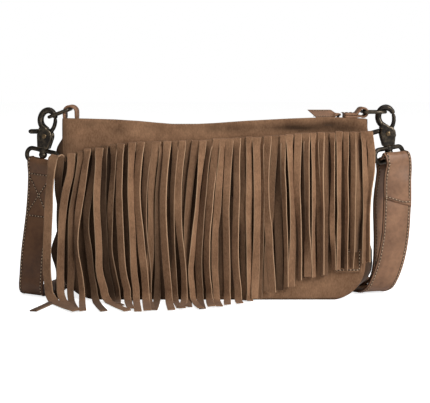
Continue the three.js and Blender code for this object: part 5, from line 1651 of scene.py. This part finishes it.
    def _eye(self, side: str) -> None:
        """Makes the swivel eye with its boss."""
        bend = (EYE.height - EYE.wire) / 2
        straight = (EYE.width - EYE.wire) / 2 - bend
        flat = np.vstack([arc((straight, -bend), bend, 90, -90, 19), arc((-straight, -bend), bend, 270, 90, 19)])
        loop = wire_loop(upright(flat), ACROSS, EYE.wire / 2, 20)
        reach, chamfer = EYE.boss_height / 2, self.CHAMFER
        inner, outer = EYE.bore, EYE.boss_radius
        outline = [(inner, -reach), (outer - chamfer, -reach), (outer, -reach + chamfer), (outer, reach - chamfer),
                   (outer - chamfer, reach), (inner, reach)]
        shape = join_shapes([loop, round_tube(outline)])
        shape.points = snap_points(side, SNAPS[side].eye_turn, shape.points)
        self._cast(f"swivel_eye_{side}_cast", self._raw_mesh(shape), "eye", "bag", f"swivel_eye_{side}")


# ---------------------------------------------------------------- the strap


@dataclasses.dataclass
class StrapRun:
    """A length of strap: places along it and the directions across it and out of its outer face."""

    line: Array
    wide: Array
    thick: Array
    slants: tuple[float, float] = (0.0, 0.0)
    LOWEST = 0.2
    RAW_EDGE = (0.955, 0.99)
    # Painted shade on the left leg, more towards the floor, and painted light on the back of the right leg.
    LEFT_DARK, LOW_DARK = 0.2, 0.3
    BACK_PALE = 0.5
    STITCH_STEP = 1.5

    @classmethod
    def through(cls, stations: list[tuple[Array, Array]], slants: tuple[float, float], steps: int = 10) -> "StrapRun":
        """Runs the strap through stations, each a place and the way across."""
        line = catmull(np.array([s[0] for s in stations]), steps, True)
        wide = catmull(np.array([s[1] for s in stations]), steps, False)
        along = tangents_of(line)
        wide = unit(wide - np.sum(wide * along, axis=1, keepdims=True) * along)
        return cls(line, wide, np.cross(along, wide), slants)

    def length_at(self) -> Array:
        """Distance along the run at each place."""
        gaps = np.linalg.norm(np.diff(self.line, axis=0), axis=1)
        return np.concatenate([[0.0], np.cumsum(gaps)])

    def shape(self) -> Shape:
        """The strip itself, with rounded edges and slanted ends."""
        profile = rounded_bar(STRAP.width, STRAP.thickness, STRAP.round, 5)
        made = sweep(self.line, self.wide, self.thick, profile)
        grid = made.points.reshape(len(self.line), len(profile), 3)
        for end, slant in ((0, self.slants[0]), (-1, self.slants[1])):
            if slant:
                self._shear(grid, end, slant, profile)
        grid[..., 2] = np.maximum(grid[..., 2], self.LOWEST)
        made.points = grid.reshape(-1, 3)
        off = np.abs(profile[:, 0]) / (STRAP.width / 2)
        # Painted shade: the left end, which faces away from the key light, is darker, more so low down; painted light
        # brightens the back leg, which the front leg shades.
        low = 1 - smooth_step(self.line[:, 2], 0, 150)
        shaded = (self.line[:, 0] < -HALF_LENGTH - 12) * -(self.LEFT_DARK + self.LOW_DARK * low)
        back = (self.line[:, 0] > HALF_LENGTH + 10) * smooth_step(self.line[:, 1], 2, 10)
        shaded = shaded + self.BACK_PALE * back
        made.values = {"rim": np.tile(smooth_step(off, *self.RAW_EDGE), len(self.line)),
                       "shade": np.repeat(shaded, len(profile))}
        return made

    def _shear(self, grid: Array, end: int, slant: float, profile: Array) -> None:
        """Slides the places near one end along the strap so that the end is cut at a slant."""
        along = tangents_of(self.line)
        run = np.abs(self.length_at() - self.length_at()[end])
        for i in np.nonzero(run < 3 * STRAP.width)[0]:
            share = 1 - run[i] / (3 * STRAP.width)
            grid[i] += along[i] * (slant * share**2 * profile[:, :1])

    def path(self, places: Array, offsets: Array, side: int, raise_by: float = 0.1) -> Shape:
        """A polyline on one face.

        Args:
            places: distances along the run.
            offsets: distances across it from the middle.
            side: 1 for the outer face, -1 for the inner one.
            raise_by: how far it lies off the face.

        Returns:
            The polyline with its "face".
        """
        length = self.length_at()
        parts = [np.stack([np.interp(places, length, rows[:, k]) for k in range(3)], axis=1)
                 for rows in (self.line, self.wide, self.thick)]
        line, wide, thick = parts[0], unit(parts[1]), unit(parts[2])
        points = line + wide * offsets[:, None] + thick * side * (STRAP.thickness / 2 + raise_by)
        points[:, 2] = np.maximum(points[:, 2], STRAP.stitch_floor)
        return Shape(points, [], {"face": thick * side})

    def edge_rows(self, start: float, stop: float) -> list[Shape]:
        """Rows of stitching along both edges of both faces, between two distances."""
        places = np.arange(start, stop, self.STITCH_STEP)
        inset = STRAP.width / 2 - STRAP.stitch_inset
        return [self.path(places, np.full(len(places), e * inset), s) for e in (1, -1) for s in (1, -1)]


class Strap(Maker):
    """The flat shoulder strap, clipped on at both ends with its spare length lying behind the bag.

    LEFT_LEG, FRONT_LEG and the places of the seam are given outwards from the bag's end, across and up, and
    FRONT_LAID outwards and across, on the floor. LAP is how far the short length reaches over the seam.
    """

    FRONT_TURN = 15.0
    WAYS = {side: heading(place.eye_turn) for side, place in SNAPS.items()}
    FRONT = heading(FRONT_TURN)
    SEAM = (27.0, -13.0, STRAP.seam_height)
    ABOVE_SEAM = (26.6, -13.0, STRAP.seam_height + 22)
    LAP = (0.1, 0.9 * STRAP.thickness, 5.0)
    SEAM_INSET = 2.2
    FREE_END, SEAM_END = 3.0, 4.0
    WRAP_LENGTH = 12.0
    CROSS_INSET = 3.0
    BOX = (11.0, 54.0)
    LEFT_LEG = ((-30.6, -7.5, 46), (-32.6, -9, 22), (-33.4, -9.6, 9.5), (-32.4, -6.0, 2.6))
    FRONT_LEG = ((26.7, -12.6, 90), (25.6, -12.5, 62), (21.6, -11.5, 36), (17, -8.5, 19.5), (13, -4, 9.3),
                 (8.6, 2.6, 4))
    FRONT_LAID = ((3, 12.5), (-4, 25), (-9, 33))

    def build(self) -> None:
        """Makes the strap's two lengths and their stitching."""
        main = StrapRun.through(self._left_leg() + self._stored() + self._right_leg(), (0.0, -STRAP.seam_slope))
        top = self._outside(1, self.SEAM) + self.LAP
        leg = [(self._outside(1, place), self.FRONT) for place in self.FRONT_LEG]
        laid = [self._on_floor(HALF_LENGTH + out, y, self.FRONT, 0) for out, y in self.FRONT_LAID]
        end = StrapRun.through([(top, self.FRONT), *leg, *laid], (STRAP.seam_slope, 0.0))
        for name, run, node in (("strap_long", main, "strap_main"), ("strap_short", end, "strap_end")):
            self.put(name, run.shape(), self.materials.leather, "bag", Slot.STRAP, node)
        self._sew(main, end)
        LOG.info("strap made, %.0f mm long", main.length_at()[-1] + end.length_at()[-1])

    def _sew(self, main: StrapRun, end: StrapRun) -> None:
        """Edge rows all along, a boxed cross where the left end is folded back, and the slanted double seam."""
        length = main.length_at()[-1]
        rows = main.edge_rows(self.FREE_END, length - self.SEAM_END)
        rows += end.edge_rows(self.SEAM_END, end.length_at()[-1] - self.FREE_END)
        inset = STRAP.width / 2 - STRAP.stitch_inset
        across, slanted = np.linspace(-inset, inset, 10), np.linspace(-inset, inset, 16)
        low, high = (STRAP.fold_back + self.WRAP_LENGTH + place for place in self.BOX)
        rows += [main.path(np.full(10, place), across, 1) for place in (low, high)]
        cross = np.linspace(low + self.CROSS_INSET, high - self.CROSS_INSET, 16)
        rows += [main.path(cross, way * slanted, 1) for way in (1, -1)]
        back = self.SEAM_INSET + STRAP.seam_slope * across
        rows += [main.path(length - back, across, -1), end.path(back, across, 1)]
        self.sew("strap_stitches", rows)

    @staticmethod
    def _outside(side: int, place: tuple[float, float, float]) -> Array:
        """A place given outwards from the bag's right end (1) or left end (-1)."""
        return np.array(place, float) + X_AXIS * side * HALF_LENGTH

    @staticmethod
    def _near_eye(side: str, forward: float, up: float) -> tuple[Array, Array]:
        """A station near an eye's lower bar, given by how far it is in front of it and above it."""
        origin, directions = snap_frame(side, SNAPS[side].eye_turn)
        middle = origin - directions[:, 2] * (EYE.height - EYE.wire)
        place = middle - directions[:, 1] * forward + directions[:, 2] * up
        if side == "left":
            place = place + X_AXIS * 0.085 * max(-up, 0.0)
        return place, directions[:, 0]

    @staticmethod
    def _on_floor(x: float, y: float, across: Array, turn: float, lift: float = 0.0) -> tuple[Array, Array]:
        """A station on the floor: its place, the level way across and how far it is turned up on edge."""
        turn = math.radians(turn)
        high = STRAP.width / 2 * math.sin(turn) + STRAP.thickness / 2 * math.cos(turn)
        level = unit(np.array([across[0], across[1], 0.0]))
        wide = level * math.cos(turn) + UP * math.sin(turn)
        return np.array([x, y, high + STRAP.floor_clearance + lift]), wide

    def _left_leg(self) -> list[tuple[Array, Array]]:
        """Stations from the fold at the left eye down to the floor."""
        layer = (STRAP.thickness + STRAP.gap) / 2
        wrap = EYE.wire / 2 + STRAP.wrap_gap + STRAP.thickness / 2
        near = [(-layer, -STRAP.fold_back), (-layer, -STRAP.fold_neck)]
        near += [(wrap * math.cos(a), wrap * math.sin(a)) for a in np.pi * (1 - np.arange(7) / 6)]
        near += [(layer, -STRAP.fold_neck), (layer, -STRAP.fold_back)]
        stations = [self._near_eye("left", *place) for place in near]
        return stations + [(self._outside(-1, place), self.WAYS["left"]) for place in self.LEFT_LEG]

    def _stored(self) -> list[tuple[Array, Array]]:
        """Stations of the spare length, which lies behind the bag."""
        side, behind = HALF_LENGTH, BODY.base_depth / 2
        edge = -ACROSS
        laid = [
            (-side - 22.5, 10.5, self.WAYS["left"], 0), (-side - 15, 26, self.WAYS["left"], 0, STRAP.twist_lift),
            (-side - 8, 40, (0.95, -0.3), 20), (-side + 6, 53, (0.7, -0.7), 60),
            (-side + 30, behind + 31, edge, 90), (-side / 2, behind + 31, edge, 90), (0, behind + 30, edge, 90),
            (side / 2, behind + 31, edge, 90), (side - 48, behind + 33, edge, 90), (side - 38, behind + 43, edge, 90),
            (side - 48, behind + 53, edge, 90), (side / 2, behind + 55, edge, 90), (-side / 2, behind + 55, edge, 90),
            (-side + 48, behind + 57, edge, 90), (-side + 38, behind + 67, edge, 90),
            (-side + 48, behind + 77, edge, 90), (-side / 2, behind + 79, edge, 90), (0, behind + 80, edge, 90),
            (side / 2, behind + 78, edge, 90), (side - 35, behind + 72, edge, 90),
            (side - 16, behind + 58, (-0.7, -0.7), 78), (side - 7, behind + 42, (-1, -0.5), 50),
        ]
        return [self._on_floor(*place) for place in laid]

    def _right_leg(self) -> list[tuple[Array, Array]]:
        """Stations from the floor up over the right eye and down to the seam."""
        side = HALF_LENGTH
        lift = STRAP.thickness + STRAP.gap
        back = -self.WAYS["right"]
        stations = [self._on_floor(side, 51, back, 22, lift), self._on_floor(side + 6, 39, back, 0, lift)]
        leg = ((12.5, 30, 4.6 + lift), (17, 24.5, 12), (20, 21.5, 24), (20.8, 20, 50), (18.5, 14.5, 95))
        stations += [(self._outside(1, place), back) for place in leg]
        clear = EYE.wire / 2 + STRAP.lay_gap + STRAP.thickness / 2
        over = [(-clear, -8), (-clear, -1), (1 - clear, clear - 1.2), (0, clear), (2.6, clear + 0.7),
                (5.4, clear + 2.9), (8.4, clear + 4.2), (11.2, clear + 2.5), (12.4, clear - 1.2), (12.8, -4)]
        for forward, up in over:
            place, wide = self._near_eye("right", forward, up)
            stations.append((place, -(wide if forward < 8 else 0.5 * (wide + self.FRONT))))
        return stations + [(self._outside(1, place), -self.FRONT) for place in (self.ABOVE_SEAM, self.SEAM)]


# ---------------------------------------------------------------- the studio


class Studio:
    """Camera, lights and floor as for a product photo on white."""

    EYE_PLACE = (-0.001, -0.926, 0.220)
    PITCH = 82.4
    LENS = 76.9
    LAMPS = (
        ("key", (1.45, -1.15, 1.2), 0.8, 37.0),
        ("fill", (-0.5, -1.4, 0.9), 1.2, 1.6),
        ("top", (0.2, -0.1, 1.6), 1.0, 5.0),
    )
    AIM = Vector((0.0, 0.0, 0.09))
    WHITE = (1.0, 1.0, 1.0, 1.0)
    WORLD = 0.2
    FLOOR_LIFT = 0.8
    FLOOR_COLOUR = (0.93, 0.93, 0.93, 1.0)
    FLOOR_HALF = 8.0

    def build(self) -> None:
        """Makes the whole stage."""
        scene = bpy.context.scene
        scene.view_settings.view_transform = "Standard"
        camera_data = bpy.data.cameras.new("camera")
        camera_data.lens = self.LENS
        camera_data.sensor_width = 36.0
        camera = link_object("camera", camera_data)
        camera.location = self.EYE_PLACE
        camera.rotation_euler = (math.radians(self.PITCH), 0.0, 0.0)
        scene.camera = camera
        for name, place, size, power in self.LAMPS:
            data = bpy.data.lights.new(name, "AREA")
            data.size, data.energy = size, power
            lamp = link_object(name, data)
            lamp.location = place
            lamp.rotation_euler = (self.AIM - Vector(place)).to_track_quat("-Z", "Y").to_euler()
        scene.world = self._world()
        self._floor()

    @staticmethod
    def _seen(graph: Graph, unseen: float, seen: float) -> Socket:
        """One value for what the camera sees, another for what lights the bag."""
        camera_ray = graph.add("ShaderNodeLightPath").outputs["Is Camera Ray"]
        return graph.span(camera_ray, 0.0, 1.0, unseen, seen)

    def _world(self) -> bpy.types.World:
        """A world that is white to the camera and dimmer as a light."""
        world = bpy.data.worlds.new("white")
        world.use_nodes = True
        graph, backdrop = Graph(world.node_tree), world.node_tree.nodes["Background"]
        graph.feed(backdrop.inputs["Strength"], self._seen(graph, self.WORLD, 1.0))
        backdrop.inputs["Color"].default_value = self.WHITE
        return world

    def _floor(self) -> None:
        """Makes the pale floor."""
        material = bpy.data.materials.new("floor_white")
        material.use_nodes = True
        graph, shader = Graph(material.node_tree), material.node_tree.nodes["Principled BSDF"]
        graph.feed(shader.inputs["Emission Strength"], self._seen(graph, 0.0, self.FLOOR_LIFT))
        shader.inputs["Emission Color"].default_value = self.WHITE
        shader.inputs["Base Color"].default_value = self.FLOOR_COLOUR
        shader.inputs["Roughness"].default_value = 0.9
        mesh = bpy.data.meshes.new("floor")
        corners = [(x * self.FLOOR_HALF, y * self.FLOOR_HALF, 0.0) for x, y in ((-1, -1), (1, -1), (1, 1), (-1, 1))]
        mesh.from_pydata(corners, [], [(0, 1, 2, 3)])
        mesh.materials.append(material)
        link_object("floor", mesh)


# ---------------------------------------------------------------- the script


def main() -> None:
    """Builds the whole scene on the frame."""
    logging.basicConfig(level=logging.INFO, format="%(name)s: %(message)s")
    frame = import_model()
    kit = (Materials(), PathTools(), frame["nodes"])
    for maker in (BagBody, Fringe, Zip, Hardware, Strap):
        maker(*kit).build()
    Studio().build()
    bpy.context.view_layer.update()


if __name__ == "__main__":
    main()
